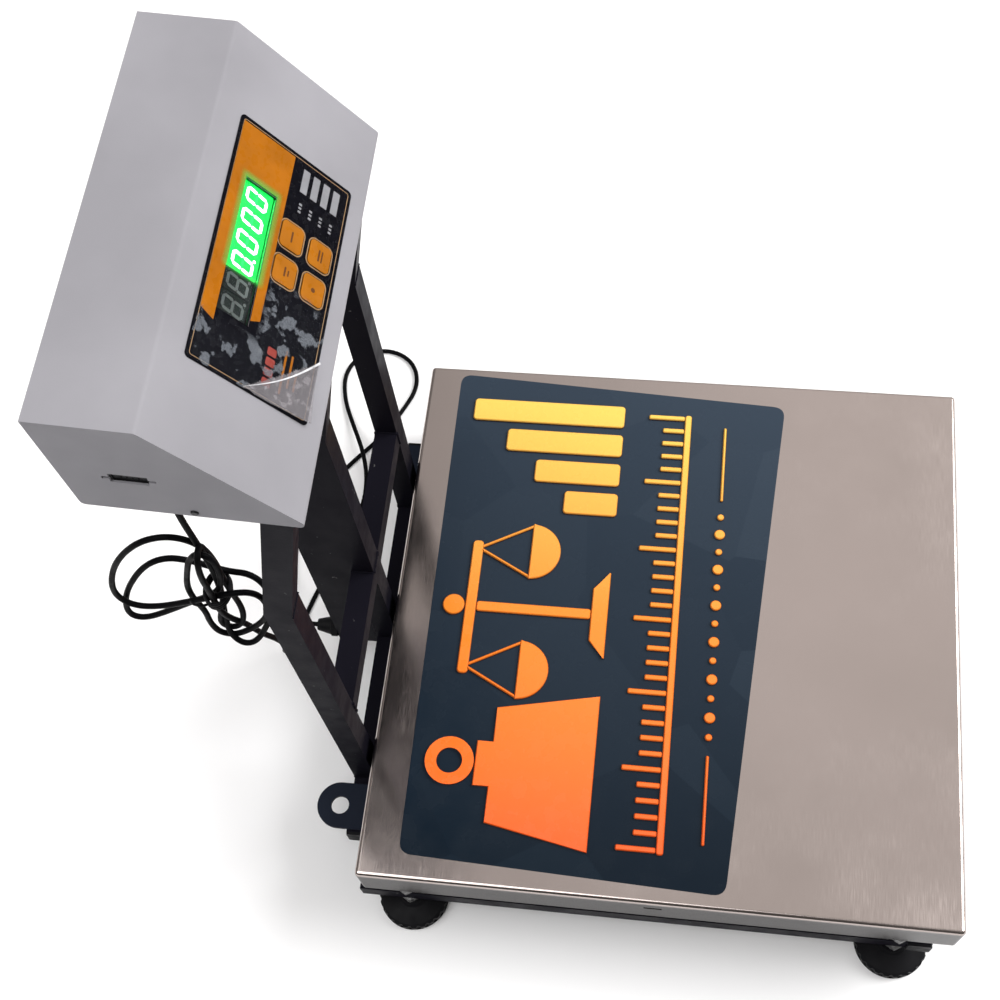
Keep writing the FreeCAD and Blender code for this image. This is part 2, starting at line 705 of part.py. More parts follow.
def make_panel():
    """Pieces on the slope, in a frame whose XY plane is the slope's outer face."""
    body = new_body("overlay_panel")
    sketch = new_sketch(body, "XY_Plane")
    half_wide = S["panel_wide"] / 2
    low, high = S["panel_y"] - S["panel_high"] / 2, S["panel_y"] + S["panel_high"] / 2
    rectangle(sketch, -half_wide, low, half_wide, high)
    window_low = S["window_y"] - S["window_high"] / 2
    rectangle(sketch, -S["window_wide"] / 2, window_low,
              S["window_wide"] / 2, window_low + S["window_high"])
    for x, y in KEYS.values():
        wide, deep = S["key_wide"] / 2 + S["key_gap"], S["key_high"] / 2 + S["key_gap"]
        rectangle(sketch, x - wide, y - deep, x + wide, y + deep)
    pad(body, sketch, S["panel_thick"])
    fillet(body, 2.5, lambda edge: runs_along(edge, V(0, 0, 1))
           and abs(abs(edge.BoundBox.XMin) - half_wide.value) < 1e-3)
    place(body, 0, S["box_y"], S["box_z"], slope_tilt)

    window = new_body("display_window")
    sketch = new_sketch(window, "XY_Plane")
    rectangle(sketch, 0.2 - S["window_wide"] / 2, window_low + 0.2,
              S["window_wide"] / 2 - 0.2, window_low + S["window_high"] - 0.2)
    pad(window, sketch, 1.4, backward=True)
    place(window, 0, S["box_y"], S["box_z"], slope_tilt)

    for label, (x, y) in KEYS.items():
        key = new_body(label)
        sketch = new_sketch(key, "XY_Plane", -0.6)
        rectangle(sketch, x - S["key_wide"] / 2, y - S["key_high"] / 2,
                  x + S["key_wide"] / 2, y + S["key_high"] / 2)
        pad(key, sketch, S["panel_thick"] + S["key_proud"] + 0.6)
        fillet(key, 2.5, lambda edge: runs_along(edge, V(0, 0, 1)))
        place(key, 0, S["box_y"], S["box_z"], slope_tilt)


def slope_placement():
    return FreeCAD.Placement(V(0, read("box_y"), read("box_z")),
                             FreeCAD.Rotation(V(1, 0, 0), slope_tilt.value))


def make_electronics():
    depth = read("board_depth")
    thick = read("board_thick")
    window_y = read("window_y")
    module = Part.makeBox(75, 19, 8, V(-37.5, window_y - 9.5, -10.2))
    faces = [Part.makeBox(11.6, 17.4, 0.4, V(-37.5 + 12.5 * place_index + 0.45, window_y - 8.7, -2.2))
             for place_index in range(6)]
    module = module.multiFuse(faces).removeSplitter()
    shaped("led_module", module, slope_placement())

    board_low, board_high = 17.0, 84.0
    board = Part.makeBox(104, board_high - board_low, thick, V(-50, board_low, -depth))
    hole_spots = [(-46, board_low + 4), (50, board_low + 4), (-46, board_high - 4), (50, board_high - 4)]
    board = board.cut(Part.makeCompound([cylinder(1.6, thick, V(x, y, -depth))
                                         for x, y in hole_spots]))
    shaped("display_board", board, slope_placement())
    sheet_inner = -read("steel")
    post = cylinder(2.6, sheet_inner + depth - thick).fuse(cylinder(1.5, thick, V(0, 0, -thick)))
    frame = slope_placement()
    posts = []
    for x, y in hole_spots:
        copy = post.copy()
        copy.translate(V(x, y, thick - depth))
        posts.append(copy)
    shaped("board_standoffs", Part.makeCompound(posts), frame)

    stem_top = -1.2
    body_high = 3.5
    base_z = thick - depth
    switch = Part.makeBox(6, 6, body_high, V(-3, -3, base_z))
    switch = switch.fuse(cylinder(1.7, stem_top - base_z - body_high, V(0, 0, base_z + body_high)))
    switches = []
    for x, y in KEYS.values():
        copy = switch.copy()
        copy.translate(V(x.value, y.value, 0))
        switches.append(copy)
    shaped("key_switches", Part.makeCompound(switches), frame)

    inner_floor = read("steel")
    board = Part.makeBox(70, 46, thick, V(-50, 48, inner_floor + 4))
    legs = [cylinder(2.2, 4, V(x, y, inner_floor)) for x in (-46, 16) for y in (52, 90)]
    parts = [Part.makeBox(14, 10, 12, V(-44, 70, inner_floor + 4 + thick)),
             cylinder(5, 12, V(-20, 80, inner_floor + 4 + thick)),
             cylinder(4, 10, V(-6, 80, inner_floor + 4 + thick)),
             Part.makeBox(12, 8, 2, V(0, 60, inner_floor + 4 + thick))]
    shaped("main_board", board.multiFuse(legs + parts), box_placement(0, 0))

    lamination = Part.makeBox(40, 30, 34, V(-104, 36, inner_floor))
    lamination = lamination.makeFillet(1, lamination.Edges)
    winding = Part.makeBox(24, 44, 20, V(-96, 29, inner_floor + 7))
    winding = winding.makeFillet(3, [edge for edge in winding.Edges if edge.BoundBox.XLength > 20])
    shaped("transformer", lamination.fuse(winding).cut(
        Part.makeBox(50, 60, 10, V(-110, 20, inner_floor - 10))), box_placement(0, 0))

    cell = Part.makeBox(86, 24, 52, V(22, 82, inner_floor))
    cell = cell.makeFillet(2, [edge for edge in cell.Edges if edge.BoundBox.ZLength > 40])
    tabs = [Part.makeBox(5, 0.8, 6, V(x, 90, inner_floor + 52)) for x in (30, 95)]
    shaped("battery", cell.multiFuse(tabs), box_placement(0, 0))

    make_serial_port()


def make_serial_port():
    """Nine-way D connector behind its cut-out in the left end plate."""
    y, z = read("serial_y"), read("serial_z")
    inner_x = read("steel") - read("box_wide") / 2

    def trapezium(half_low, half_high, half_tall, start, length):
        points = [V(start, y - half_low, z - half_tall), V(start, y + half_low, z - half_tall),
                  V(start, y + half_high, z + half_tall), V(start, y - half_high, z + half_tall)]
        return Part.Face(Part.makePolygon(points + points[:1])).extrude(V(length, 0, 0))

    # flange against the plate, an open shell behind it and the insulator with nine holes
    flange = Part.makeBox(0.8, 31, 12.4, V(inner_x + 0.02, y - 15.5, z - 6.2))
    shell = trapezium(8.4, 9.4, 4.6, inner_x + 0.02, 9)
    body = flange.fuse(shell).cut(trapezium(7.9, 8.9, 4.1, inner_x - 0.1, 4))
    core = trapezium(7.6, 8.5, 3.8, inner_x + 0.6, 5)
    holes = [cylinder(0.55, 4, V(inner_x + 0.5, y + step * 2.77 + shift, z + row), V(1, 0, 0))
             for row, shift, steps in ((1.4, 0, (-2, -1, 0, 1, 2)), (-1.4, 1.385, (-2, -1, 0, 1)))
             for step in steps]
    body = body.fuse(core.cut(Part.makeCompound(holes)))
    shaped("serial_port", body, box_placement(0, 0))


# ---------------------------------------------------------------- cable

def gland(bore):
    """A cable gland along +Z: lock nut below z = 0, hexagon and domed cap above it."""
    shape = cylinder(6, 6, V(0, 0, -6)).fuse(hexagon(15, 5))
    cap = Part.makeCone(7.2, 4.4, 11, V(0, 0, 5))
    shape = shape.fuse(cap)
    shape = shape.fuse(hexagon(16, 3.5, V(0, 0, -5.7)))
    return shape.cut(cylinder(bore, 30, V(0, 0, -10)))


def cord(label, route, diameter):
    """A round tube along straight runs joined by tangent arcs."""
    points = [V(*spot) for spot in route]
    runs = [(b - a).Length for a, b in zip(points, points[1:])]
    edges = []
    start = points[0]
    radii = []
    for index in range(1, len(points) - 1):
        corner = points[index]
        incoming = (corner - points[index - 1]).normalize()
        outgoing = (points[index + 1] - corner).normalize()
        turn = incoming.getAngle(outgoing)
        shorter = min(runs[index - 1], runs[index])
        radius = 0.45 * shorter / math.tan(turn / 2)
        radii.append(radius)
        tangent_length = 0.45 * shorter
        enter = corner - incoming * tangent_length
        leave = corner + outgoing * tangent_length
        bisector = (outgoing - incoming).normalize()
        centre = corner + bisector * (radius / math.cos(turn / 2))
        middle = centre + (corner - centre).normalize() * radius
        edges.append(Part.LineSegment(start, enter).toShape())
        edges.append(Part.Arc(enter, middle, leave).toShape())
        start = leave
    edges.append(Part.LineSegment(start, points[-1]).toShape())
    wire = Part.Wire(edges)
    direction = points[1] - points[0]
    ring = Part.Wire(Part.Circle(points[0], direction, diameter / 2).toShape())
    solid = wire.makePipeShell([ring], True, True, 2)
    if solid.Volume < 0:
        solid.reverse()
    expected = math.pi * diameter ** 2 / 4 * wire.Length
    print(f"{label}: {wire.Length:.0f} mm, radii {min(radii):.1f} to {max(radii):.1f} mm, "
          f"volume {solid.Volume / expected:.3f} of the section times the length")
    return shaped(label, solid)


def make_cable():
    diameter = read("cable")
    grip = gland(diameter / 2 + 0.05)
    down = FreeCAD.Placement(V(read("gland_x"), read("gland_y"), 0), FreeCAD.Rotation(V(1, 0, 0), 180))
    shaped("indicator_gland", grip, box_placement(0, 0).multiply(down))
    back_y = post_back.value + read("stay_deep")
    toward_back = FreeCAD.Rotation(V(1, 0, 0), -90)
    outer = gland(diameter / 2 + 0.05)
    outer = outer.common(Part.makeBox(40, 40, 40, V(-20, -20, 0)))
    shaped("base_gland", outer, FreeCAD.Placement(V(0, back_y, read("base_gland_z")), toward_back))

    mouth = box_placement(read("gland_y"), -16, read("gland_x")).Base
    cord("cable_drop", [tuple(mouth), (mouth.x, mouth.y + 1.5, mouth.z - 12), HANK_TOP], diameter)

    lens = Part.makeSphere(0.5)
    stretch = FreeCAD.Matrix()
    stretch.scale(read("hank_thick"), read("hank_wide"), read("hank_long"))
    shaped("cable_hank", lens.transformGeometry(stretch),
           FreeCAD.Placement(HANK_CENTRE, FreeCAD.Rotation()))

    cord("cable_tail", TAIL_ROUTE, diameter)
    cord("cell_lead", LEAD_ROUTE, diameter)


HANK_CENTRE = V(-102, 270, 247)
HANK_TOP = (-100, 250, 305)
FLOOR_LINE = -98.2
# from the bottom of the hank, down behind the stand, round on the floor and up to the base
TAIL_ROUTE = [
    (-99, 250, 191), (-97, 245, 170), (-92, 240, 148), (-85, 241, 118), (-76, 250, 86),
    (-64, 266, 50), (-50, 281, 14), (-38, 287, -22), (-27, 292, -54), (-12, 294, -84),
    (12, 292, FLOOR_LINE), (38, 286, FLOOR_LINE), (66, 276, FLOOR_LINE), (98, 265, FLOOR_LINE),
    (124, 259, FLOOR_LINE), (144, 259, -95.5), (162, 263, -90.8), (178, 270, -90.8),
    (198, 280, -96), (222, 291, FLOOR_LINE), (248, 295, FLOOR_LINE), (268, 283, FLOOR_LINE),
    (274, 258, FLOOR_LINE), (262, 236, FLOOR_LINE), (238, 229, FLOOR_LINE),
    (212, 240, FLOOR_LINE), (186, 254, FLOOR_LINE), (160, 276, FLOOR_LINE),
    (130, 296, FLOOR_LINE), (98, 306, FLOOR_LINE), (66, 310, -96), (36, 306, -88),
    (12, 292, -72), (0, 281, -61), (0, 269, -60),
]
# inside the base, through the rear rail and the back cross to the side of the load cell
LEAD_ROUTE = [
    (0, 203, -60), (0.3, 172, -60), (0, 142, -60), (8, 112, -60), (24, 86, -59),
    (40, 62, -53), (49, 42, -45.5), (52, 28, -40.3), (52, 15.2, -40),
]


# ---------------------------------------------------------------- build, check, export

for build in (make_base, make_lugs, make_feet, make_cell, make_spider, make_deck, make_stand,
              make_cover, make_back, make_fasteners, make_panel, make_electronics, make_cable):
    build()
doc.recompute()

for item in doc.Objects:
    if any(word in item.State for word in ("Invalid", "Error")):
        raise RuntimeError(f"{item.Label}: {item.State}")
os.makedirs("parts", exist_ok=True)
for item in nodes:
    if item.Shape.isNull() or not item.Shape.isValid() or item.Shape.Volume <= 0:
        raise RuntimeError(f"{item.Label} is not a valid solid")
    item.Shape.exportStep(f"parts/{item.Label}.step")
print(len(nodes), "nodes")
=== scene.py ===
import json
import math

import bmesh
import bpy
from mathutils import Matrix, Vector, noise


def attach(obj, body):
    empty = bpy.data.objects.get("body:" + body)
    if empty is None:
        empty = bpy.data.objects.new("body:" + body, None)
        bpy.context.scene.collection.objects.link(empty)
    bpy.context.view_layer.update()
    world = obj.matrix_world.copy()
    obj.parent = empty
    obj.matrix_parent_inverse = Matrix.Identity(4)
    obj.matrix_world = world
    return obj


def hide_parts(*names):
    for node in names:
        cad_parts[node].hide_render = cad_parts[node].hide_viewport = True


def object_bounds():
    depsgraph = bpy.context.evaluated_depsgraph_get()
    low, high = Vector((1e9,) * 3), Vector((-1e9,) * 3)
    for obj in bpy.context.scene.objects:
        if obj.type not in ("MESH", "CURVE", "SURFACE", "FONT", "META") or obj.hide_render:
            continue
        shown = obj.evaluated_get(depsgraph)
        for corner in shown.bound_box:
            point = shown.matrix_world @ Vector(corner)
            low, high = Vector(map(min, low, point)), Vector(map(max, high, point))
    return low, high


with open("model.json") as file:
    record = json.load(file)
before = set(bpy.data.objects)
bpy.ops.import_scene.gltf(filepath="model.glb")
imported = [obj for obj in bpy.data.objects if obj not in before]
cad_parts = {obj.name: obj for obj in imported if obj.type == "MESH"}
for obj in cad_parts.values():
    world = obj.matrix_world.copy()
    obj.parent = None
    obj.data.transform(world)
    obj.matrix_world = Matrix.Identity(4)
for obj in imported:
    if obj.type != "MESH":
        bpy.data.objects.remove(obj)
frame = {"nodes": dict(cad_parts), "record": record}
cad_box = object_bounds()
nodes = frame["nodes"]
record = frame["record"]
scene = bpy.context.scene

MM = 0.001
BOX_EDGE = Vector((0, 0.171, 0.370))     # the indicator's front bottom edge
SLOPE_TILT = math.radians(53.4948)       # of its sloping front, which carries the panel
SLOPE = Matrix.Translation(BOX_EDGE) @ Matrix.Rotation(SLOPE_TILT, 4, "X")


# ---------------------------------------------------------------- camera

CAMERA_SPOT = (-0.41287, -0.00245, 1.01098)
CAMERA_FORWARD = (0.43997, 0.11976, -0.88999)
CAMERA_RIGHT = (0.11295, -0.99058, -0.07746)
CAMERA_LENS, CAMERA_SENSOR = 54.72, 36


def make_camera():
    forward = Vector(CAMERA_FORWARD).normalized()
    right = Vector(CAMERA_RIGHT)
    right = (right - forward * right.dot(forward)).normalized()
    up = right.cross(forward)
    data = bpy.data.cameras.new("camera")
    data.sensor_width = CAMERA_SENSOR
    data.lens = CAMERA_LENS
    data.clip_start, data.clip_end = 0.02, 50
    camera = bpy.data.objects.new("camera", data)
    turn = Matrix((right, up, -forward)).transposed().to_4x4()
    camera.matrix_world = Matrix.Translation(CAMERA_SPOT) @ turn
    scene.collection.objects.link(camera)
    scene.camera = camera


make_camera()


# ---------------------------------------------------------------- materials

def ramped(tree, socket, start, end, low, high):
    """Map Range: takes start to low and end to high."""
    made = tree.nodes.new("ShaderNodeMapRange")
    tree.links.new(socket, made.inputs["Value"])
    for key, value in {"From Min": start, "From Max": end, "To Min": low, "To Max": high}.items():
        made.inputs[key].default_value = value
    return made.outputs["Result"]


class Look:
    """A Principled material, with short calls for the texture chains that feed it."""

    def __init__(self, name, colour, rough=0.5, metal=0.0, **sockets):
        self.material = bpy.data.materials.new(name)
        self.material.use_nodes = True
        self.tree = self.material.node_tree
        self.shader = self.tree.nodes["Principled BSDF"]
        self.set("Base Color", (*colour, 1))
        self.set("Roughness", rough)
        self.set("Metallic", metal)
        for key, value in sockets.items():
            self.set(key.replace("_", " ").title().replace("Ior", "IOR"), value)
        place = self.tree.nodes.new("ShaderNodeTexCoord")
        self.place = place.outputs["Object"]

    def set(self, key, value):
        self.shader.inputs[key].default_value = value

    def node(self, kind, links=None, **values):
        made = self.tree.nodes.new("ShaderNode" + kind)
        for key, value in values.items():
            if hasattr(made, key):
                setattr(made, key, value)
            else:
                made.inputs[key.replace("_", " ").title()].default_value = value
        for key, socket in (links or {}).items():
            self.tree.links.new(socket, made.inputs[key])
        return made

    def join(self, socket, key):
        self.tree.links.new(socket, self.shader.inputs[key])

    def stretched(self, stretch):
        made = self.node("Mapping", {"Vector": self.place})
        made.inputs["Scale"].default_value = stretch
        return made.outputs["Vector"]

    def noise(self, scale, detail=3.0, stretch=None):
        source = self.place if stretch is None else self.stretched(stretch)
        made = self.node("TexNoise", {"Vector": source}, scale=scale, detail=detail)
        return made.outputs["Fac"]

    def span(self, fac, start, end, low=0.0, high=1.0):
        return ramped(self.tree, fac, start, end, low, high)

    def combine(self, operation, first, second=0.0):
        """Arithmetic on sockets or numbers."""
        made = self.node("Math", operation=operation)
        for index, value in enumerate((first, second)):
            if isinstance(value, float):
                made.inputs[index].default_value = value
            else:
                self.tree.links.new(value, made.inputs[index])
        return made.outputs[0]

    def mix(self, fac, first, second):
        """A colour between two, each of them a tuple or a socket."""
        made = self.node("Mix", data_type="RGBA")
        self.tree.links.new(fac, made.inputs["Factor"])
        for slot, value in ((6, first), (7, second)):
            if isinstance(value, tuple):
                made.inputs[slot].default_value = (*value, 1)
            else:
                self.tree.links.new(value, made.inputs[slot])
        return made.outputs[2]

    def tint(self, fac, first, second):
        self.join(self.mix(fac, first, second), "Base Color")

    def gloss(self, fac, low, high, start=0.35, end=0.65):
        self.join(self.span(fac, start, end, low, high), "Roughness")

    def bump(self, height, strength, distance):
        made = self.node("Bump", {"Height": height}, strength=strength, distance=distance)
        if self.shader.inputs["Normal"].is_linked:
            before = self.shader.inputs["Normal"].links[0].from_socket
            self.tree.links.new(before, made.inputs["Normal"])
        self.join(made.outputs["Normal"], "Normal")


def shade(colour, by):
    return tuple(min(1.0, part * by) for part in colour)


def painted(name, colour, rough, grain, depth, chips=None, shine=0.04):
    """Sprayed paint or powder coat: fine orange peel, clouds of tone and sometimes chips."""
    look = Look(name, colour, rough, specular_ior_level=shine)
    clouds = look.noise(9, 4)
    dusty = look.mix(look.span(clouds, 0.35, 0.7), shade(colour, 0.9), shade(colour, 1.1))
    if chips:
        flecks = look.span(look.noise(260, 2), 0.74, 0.77)
        dusty = look.mix(flecks, dusty, chips)
    look.join(dusty, "Base Color")
    look.gloss(look.noise(60, 3), rough * 0.85, min(1.0, rough * 1.2))
    look.bump(look.noise(grain, 2), 0.35, depth)
    return look.material


def moulded(name, colour, rough, grain=1400):
    """Moulded plastic or rubber with a fine grain."""
    look = Look(name, colour, rough, specular_ior_level=0.08)
    look.tint(look.span(look.noise(25, 4), 0.3, 0.7), shade(colour, 0.75), shade(colour, 1.5))
    look.gloss(look.noise(120, 3), rough * 0.8, min(1.0, rough * 1.25))
    look.bump(look.noise(grain, 2), 0.4, 0.00006)
    return look.material


def stainless():
    """Brushed sheet that is wiped and smeared: bright on top, with painted shade darkening its
    folded skirt.
    """
    look = Look("stainless", (0.50, 0.43, 0.40), 0.2, 1.0, anisotropic=0.35,
                specular_ior_level=0.04)
    clouds = look.noise(5, 5)
    toned = look.mix(look.span(clouds, 0.3, 0.7), (0.44, 0.385, 0.360), (0.50, 0.435, 0.410))
    # painted shade: the folded skirt is coloured darker and made less metallic than the top
    level = look.node("SeparateXYZ", {"Vector": look.place})
    unshaded_top = look.span(level.outputs["Z"], -0.0045, -0.0015)
    look.join(look.mix(unshaded_top, (0.030, 0.026, 0.025), toned), "Base Color")
    look.join(look.span(unshaded_top, 0, 1, 0.2, 1), "Metallic")
    grain = look.noise(40, 3, stretch=(2, 60, 60))
    smears = look.noise(14, 6)
    look.gloss(look.combine("MULTIPLY", grain, smears), 0.10, 0.27, 0.12, 0.42)
    look.bump(grain, 0.06, 0.00002)
    look.bump(look.noise(7, 2), 0.25, 0.0006)
    return look.material


def metal(name, colour, rough, stretch=None):
    """Bare or plated metal, its grain drawn out by stretch."""
    look = Look(name, colour, rough, 1.0)
    grain = look.noise(500, 3, stretch=stretch)
    look.tint(look.span(look.noise(30, 4), 0.3, 0.7), shade(colour, 0.82), shade(colour, 1.1))
    look.gloss(grain, rough * 0.75, rough * 1.35)
    look.bump(grain, 0.3, 0.00003)
    return look.material


def threaded(name, colour):
    """Bright zinc with ridged rings 3 mm apart, twice the pitch of the thread they stand for."""
    look = Look(name, colour, 0.32, 1.0)
    wave = look.node("TexWave", {"Vector": look.place}, bands_direction="Z", scale=105,
                     distortion=0)
    # painted shade: the zinc darkens to about a third of its colour in the grooves between the
    # ridges
    look.tint(look.span(wave.outputs["Fac"], 0, 1), shade(colour, 0.35), colour)
    look.gloss(look.noise(200, 3), 0.25, 0.45)
    look.bump(wave.outputs["Fac"], 0.9, 0.0005)
    return look.material


def printed(name, colour, rough=0.16, coat=0.4):
    """Glossy printed film, slightly uneven."""
    look = Look(name, colour, rough, coat_weight=coat, coat_roughness=0.06, specular_ior_level=0.06)
    look.tint(look.span(look.noise(60, 3), 0.35, 0.65), shade(colour, 0.88), shade(colour, 1.1))
    look.gloss(look.noise(260, 3), rough * 0.8, rough * 1.6)
    look.bump(look.noise(240, 2), 0.12, 0.0001)
    return look.material


def lit(name, colour, strength):
    """A bar of the display that glows."""
    look = Look(name, colour, 0.4)
    look.set("Emission Color", (*colour, 1))
    look.set("Emission Strength", strength)
    look.bump(look.noise(900, 2), 0.1, 0.00002)
    return look.material


def smoked():
    """The display's tinted clear window."""
    look = Look("smoked_window", (0.80, 0.84, 0.83), 0.04, transmission_weight=1.0, ior=1.12)
    look.gloss(look.noise(90, 3), 0.03, 0.12)
    look.bump(look.noise(150, 2), 0.05, 0.0001)
    return look.material


def cable_skin():
    look = Look("cable_skin", (0.003, 0.003, 0.0035), 0.4, specular_ior_level=0.03)
    clouds = look.span(look.noise(30, 4), 0.35, 0.65)
    look.tint(clouds, (0.0022, 0.0022, 0.0028), (0.0045, 0.0045, 0.005))
    look.gloss(look.noise(160, 3), 0.32, 0.55)
    look.bump(look.noise(800, 2), 0.2, 0.00003)
    return look.material


def decal_sheet():
    """Dark blue printed sheet in large flat facets, paler towards the right."""
    look = Look("decal_sheet", (0.03, 0.045, 0.06), 0.26, specular_ior_level=0.12)
    facets = look.node("TexVoronoi", {"Vector": look.place}, scale=11)
    tone = look.span(facets.outputs["Color"], 0.1, 0.9)
    along = look.node("SeparateXYZ", {"Vector": look.place})
    far = look.span(along.outputs["X"], -0.18, 0.18)
    deep = look.mix(far, (0.004, 0.009, 0.016), (0.026, 0.040, 0.060))
    pale = look.mix(far, (0.007, 0.014, 0.023), (0.036, 0.052, 0.074))
    look.join(look.mix(tone, deep, pale), "Base Color")
    look.gloss(look.noise(40, 4), 0.16, 0.32)
    look.bump(look.noise(500, 2), 0.05, 0.00005)
    return look.material


def gold_to_orange():
    """Raised print that goes from red orange at the left to gold at the right."""
    look = Look("gold_to_orange", (0.9, 0.35, 0.03), 0.24, coat_weight=0.3, coat_roughness=0.1)
    along = look.node("SeparateXYZ", {"Vector": look.place})
    ramp = look.node("ValToRGB")
    spread = look.span(along.outputs["X"], -0.17, 0.17)
    look.tree.links.new(spread, ramp.inputs["Fac"])
    stops = ramp.color_ramp.elements
    stops[0].position, stops[0].color = 0.0, (0.86, 0.10, 0.012, 1)
    stops[1].position, stops[1].color = 1.0, (1.0, 0.60, 0.10, 1)
    middle = stops.new(0.5)
    middle.color = (1.0, 0.26, 0.02, 1)
    # painted shade: the raised print's sides, below its top, are coloured dark brown
    flank_shade = look.span(along.outputs["Z"], 0.0013, 0.0022)
    look.join(look.mix(flank_shade, (0.10, 0.018, 0.006), ramp.outputs["Color"]), "Base Color")
    look.gloss(look.noise(90, 3), 0.18, 0.34)
    return look.material


def film(name, colour, clear, hazy, scale, everywhere=False):
    """Clear film: it shows where it has come away from what it protects."""
    look = Look(name, colour, 0.1, alpha=clear, specular_ior_level=0.3)
    patches = look.noise(scale, 5)
    haze = look.span(patches, 0.55, 0.59, clear, hazy)
    if not everywhere:
        # loose below the display and beyond its left end
        axes = look.node("SeparateXYZ", {"Vector": look.place})
        x, z = axes.outputs["X"], axes.outputs["Z"]
        below = look.combine("MULTIPLY", look.span(x, -0.004, -0.018), look.span(z, 0.4155, 0.4115))
        loose = look.combine("MAXIMUM", below, look.span(x, -0.041, -0.046))
        haze = look.combine("MULTIPLY", loose, haze)
    look.join(haze, "Alpha")
    look.gloss(patches, 0.05, 0.3)
    look.bump(look.noise(scale * 1.7, 3), 0.2, 0.0006)
    return look.material


SLATE = (0.0075, 0.0070, 0.0110)
PALE = (0.27, 0.265, 0.285)
LOOKS = {
    "stainless": stainless(),
    "slate_paint": painted("slate_paint", SLATE, 0.36, 900, 0.00012, chips=(0.10, 0.10, 0.10),
                           shine=0.015),
    "lug_paint": painted("lug_paint", (0.013, 0.017, 0.028), 0.42, 700, 0.00012),
    "zinc": metal("zinc", (0.30, 0.30, 0.30), 0.38),
    "aluminium": metal("aluminium", (0.75, 0.76, 0.77), 0.30, stretch=(1, 12, 12)),
    "buffer_rubber": moulded("buffer_rubber", (0.02, 0.02, 0.02), 0.8),
    "black_plastic": moulded("black_plastic", (0.005, 0.005, 0.006), 0.5),
    "box_paint": painted("box_paint", PALE, 0.46, 1500, 0.00009),
    "overlay": printed("overlay", (0.003, 0.003, 0.005), 0.2, 0.03),
    "key_film": printed("key_film", (0.34, 0.115, 0.006), 0.3, 0.1),
    "window": smoked(),
    "led_body": moulded("led_body", (0.030, 0.034, 0.034), 0.6),
    "circuit_board": moulded("circuit_board", (0.02, 0.16, 0.06), 0.35, 300),
    "brass_post": metal("brass_post", (0.70, 0.52, 0.22), 0.3),
    "switch_plastic": moulded("switch_plastic", (0.03, 0.03, 0.03), 0.45),
    "transformer_steel": painted("transformer_steel", (0.12, 0.09, 0.07), 0.5, 400, 0.0002),
    "battery_case": moulded("battery_case", (0.04, 0.04, 0.045), 0.5),
    "connector": metal("connector", (0.03, 0.03, 0.032), 0.5),
    "cable": cable_skin(),
}
for part in record["subparts"]:
    node = nodes[part["node"]]
    node.data.materials.clear()
    node.data.materials.append(LOOKS[part["material_slot"]])
STUD = threaded("stud_thread", (0.62, 0.61, 0.58))
for name, node in nodes.items():
    if name.startswith("foot_stud"):
        node.data.materials[0] = STUD
nodes["cover_screws"].data.materials[0] = metal("black_steel", (0.03, 0.03, 0.032), 0.4)


# ---------------------------------------------------------------- the cable

# in millimetres: out of the indicator and straight down to the hank
DROP = [(-98, 249.15, 361.18), (-98, 250.65, 349.18), (-99, 250.8, 328), (-100, 249.5, 308)]
# down the middle of the hank and round its small lower loop
HANK = [
    (-102, 247.5, 294), (-103.5, 246.5, 274), (-103.5, 249, 250), (-103.5, 252.5, 226),
    (-104, 258.5, 212), (-105, 260, 201), (-104, 254, 193.5), (-102, 247.5, 200),
    (-100, 245, 216), (-99.5, 246.5, 238), (-99.5, 246.8, 258), (-99.5, 245.5, 278),
    # over the top and round the upper left loop
    (-99.5, 247, 295), (-100, 253.5, 307), (-102, 265, 313.5), (-104, 281, 306.5),
    (-106, 298, 285), (-107, 309.5, 257), (-107.5, 312, 237), (-108, 304, 226.5),
    (-108.5, 288, 230), (-109, 270, 241), (-109, 254, 250.5),
    # across the front, round the right loop and up the left side
    (-108, 240, 257), (-106, 230.5, 255.5), (-104.5, 226, 246), (-104, 226, 230),
    (-104.5, 231, 213), (-105, 243, 196.5), (-106, 255, 187.5), (-106.5, 263.5, 191),
    (-106, 266, 204), (-105, 265, 220), (-104.5, 268, 236), (-104.5, 267, 254),
    (-104.5, 261.5, 274), (-105, 256, 291),
    # over the top again, down and out to the lower left loop
    (-105, 249, 301.5), (-105.5, 242, 298), (-106, 241, 284), (-106, 243.5, 268),
    (-105, 249, 253), (-104, 257, 241), (-103.5, 270, 229.5), (-104, 292, 210),
    (-105, 306, 201), (-106, 313.5, 206), (-105, 313, 220), (-103, 305, 242),
    (-100, 289, 267.5), (-98, 274, 277), (-96, 262, 270), (-94.5, 253.5, 260),
    # across the back, round the outer right loop and up the middle
    (-94, 244, 254), (-94.5, 234, 254.5), (-96, 227, 247), (-98, 225.5, 232),
    (-101, 228, 214), (-105, 234.5, 198), (-109, 241.5, 187), (-110, 249.5, 184),
    (-107.5, 256.5, 191), (-103, 257, 206), (-99.5, 254, 228), (-98, 251, 250),
    (-97.5, 249, 270), (-98, 248.5, 288),
    # over the top from the back to the front and down to the floor
    (-100, 248, 301), (-106, 247, 306), (-112, 247, 301), (-113.5, 248, 287),
    (-111.5, 249.5, 268), (-110, 251.5, 248), (-108.5, 253, 230), (-105.5, 252, 213),
]
FLOOR_LINE = -98.2
